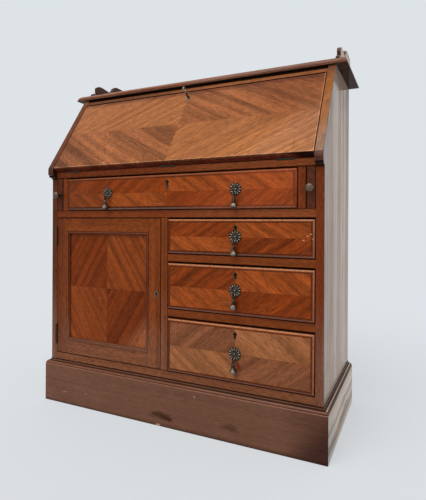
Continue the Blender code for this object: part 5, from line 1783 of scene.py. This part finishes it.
class DESK_OT_stage(bpy.types.Operator):
    """Set the pale floor, the even light and the camera"""

    bl_idname = "desk.stage"
    bl_label = "Stage"

    def execute(self, context):
        studio = context.scene.desk_studio
        scene = context.scene
        backdrop = tuple(studio.backdrop)

        world = bpy.data.worlds.new("Studio")
        world.use_nodes = True
        scene.world = world
        tree = world.node_tree
        tree.nodes.clear()
        bench = Bench(tree)
        light = bench.put("ShaderNodeBackground", Color=(0.97, 0.985, 1.0), Strength=studio.sky_light).outputs[0]
        shown = bench.put("ShaderNodeBackground", Color=backdrop, Strength=1.0).outputs[0]
        mixed_shader(bench, seen_directly(bench), light, shown, bench.put("ShaderNodeOutputWorld"))

        work = bmesh.new()
        signs = ((-1, -1), (1, -1), (1, 1), (-1, 1))
        work.faces.new([work.verts.new((x * FLOOR_REACH, y * FLOOR_REACH, 0)) for x, y in signs])
        mesh = bpy.data.meshes.new("Studio_Floor")
        work.to_mesh(mesh)
        work.free()
        floor = bpy.data.objects.new("Studio_Floor", mesh)
        scene.collection.objects.link(floor)
        finish = Finish("Studio_Floor")
        bench = finish.bench
        cloud = bench.noise(finish.place, 1.5, 3.0)
        tone = bench.blend(bench.times(cloud, 0.04), tuple(studio.floor), linear(200, 204, 208))
        finish.set(Base_Color=tone, Roughness=0.9, Specular_IOR_Level=0.0)
        seen = bench.times(seen_directly(bench), 1 - studio.floor_shadow)
        glow = bench.put("ShaderNodeEmission", Color=backdrop, Strength=1.0).outputs[0]
        mixed_shader(bench, seen, finish.shader.outputs[0], glow, finish.output)
        mesh.materials.append(finish.material)

        lamp = bpy.data.lights.new("Key_Light", "SUN")
        lamp.energy = studio.key_light
        lamp.angle = math.radians(50)
        lamp.color = (1.0, 0.985, 0.96)
        key = bpy.data.objects.new("Key_Light", lamp)
        scene.collection.objects.link(key)
        key.rotation_mode = "QUATERNION"
        key.rotation_quaternion = Vector((0.05, 0.62, -0.98)).to_track_quat("-Z", "Y")

        lens = bpy.data.cameras.new("Camera")
        lens.sensor_fit = "HORIZONTAL"
        lens.sensor_width = 36
        lens.lens = CAMERA_LENS
        lens.shift_x, lens.shift_y = CAMERA_SHIFT
        camera = bpy.data.objects.new("Camera", lens)
        scene.collection.objects.link(camera)
        camera.matrix_world = camera_matrix()
        scene.camera = camera
        scene.view_settings.view_transform = "Standard"
        return {"FINISHED"}


OPERATORS = (
    DESK_OT_groups, DESK_OT_stage, DESK_OT_carcass, DESK_OT_inside, DESK_OT_plinth, DESK_OT_top, DESK_OT_fall,
    DESK_OT_door, DESK_OT_drawers, DESK_OT_lopers, DESK_OT_handles, DESK_OT_linings, DESK_OT_key,
    DESK_OT_fasteners,
)


class DESK_PT_pieces(bpy.types.Panel):
    """Lists the settings and the operators of the bureau desk"""

    bl_idname = "DESK_PT_pieces"
    bl_label = "Bureau desk"
    bl_space_type = "VIEW_3D"
    bl_region_type = "UI"
    bl_category = "Bureau desk"

    def draw(self, context):
        layout = self.layout
        for settings in (context.scene.desk_sizes, context.scene.desk_finishes, context.scene.desk_studio):
            box = layout.box()
            for name in settings.__annotations__:
                box.prop(settings, name)
        for operator in OPERATORS:
            layout.operator(operator.bl_idname)


SETTINGS = (("desk_sizes", DeskSizes), ("desk_finishes", DeskFinishes), ("desk_studio", DeskStudio))


def register():
    """Registers the settings, the operators and the panel."""
    for name, kind in SETTINGS:
        bpy.utils.register_class(kind)
        setattr(bpy.types.Scene, name, PointerProperty(type=kind))
    for kind in (*OPERATORS, DESK_PT_pieces):
        bpy.utils.register_class(kind)


def unregister():
    """Takes them all out again."""
    for kind in reversed((*OPERATORS, DESK_PT_pieces)):
        bpy.utils.unregister_class(kind)
    for name, kind in reversed(SETTINGS):
        delattr(bpy.types.Scene, name)
        bpy.utils.unregister_class(kind)


def main():
    """Builds the desk and its stage."""
    register()
    for operator in OPERATORS:
        area, name = operator.bl_idname.split(".")
        getattr(getattr(bpy.ops, area), name)()


if __name__ == "__main__":
    main()
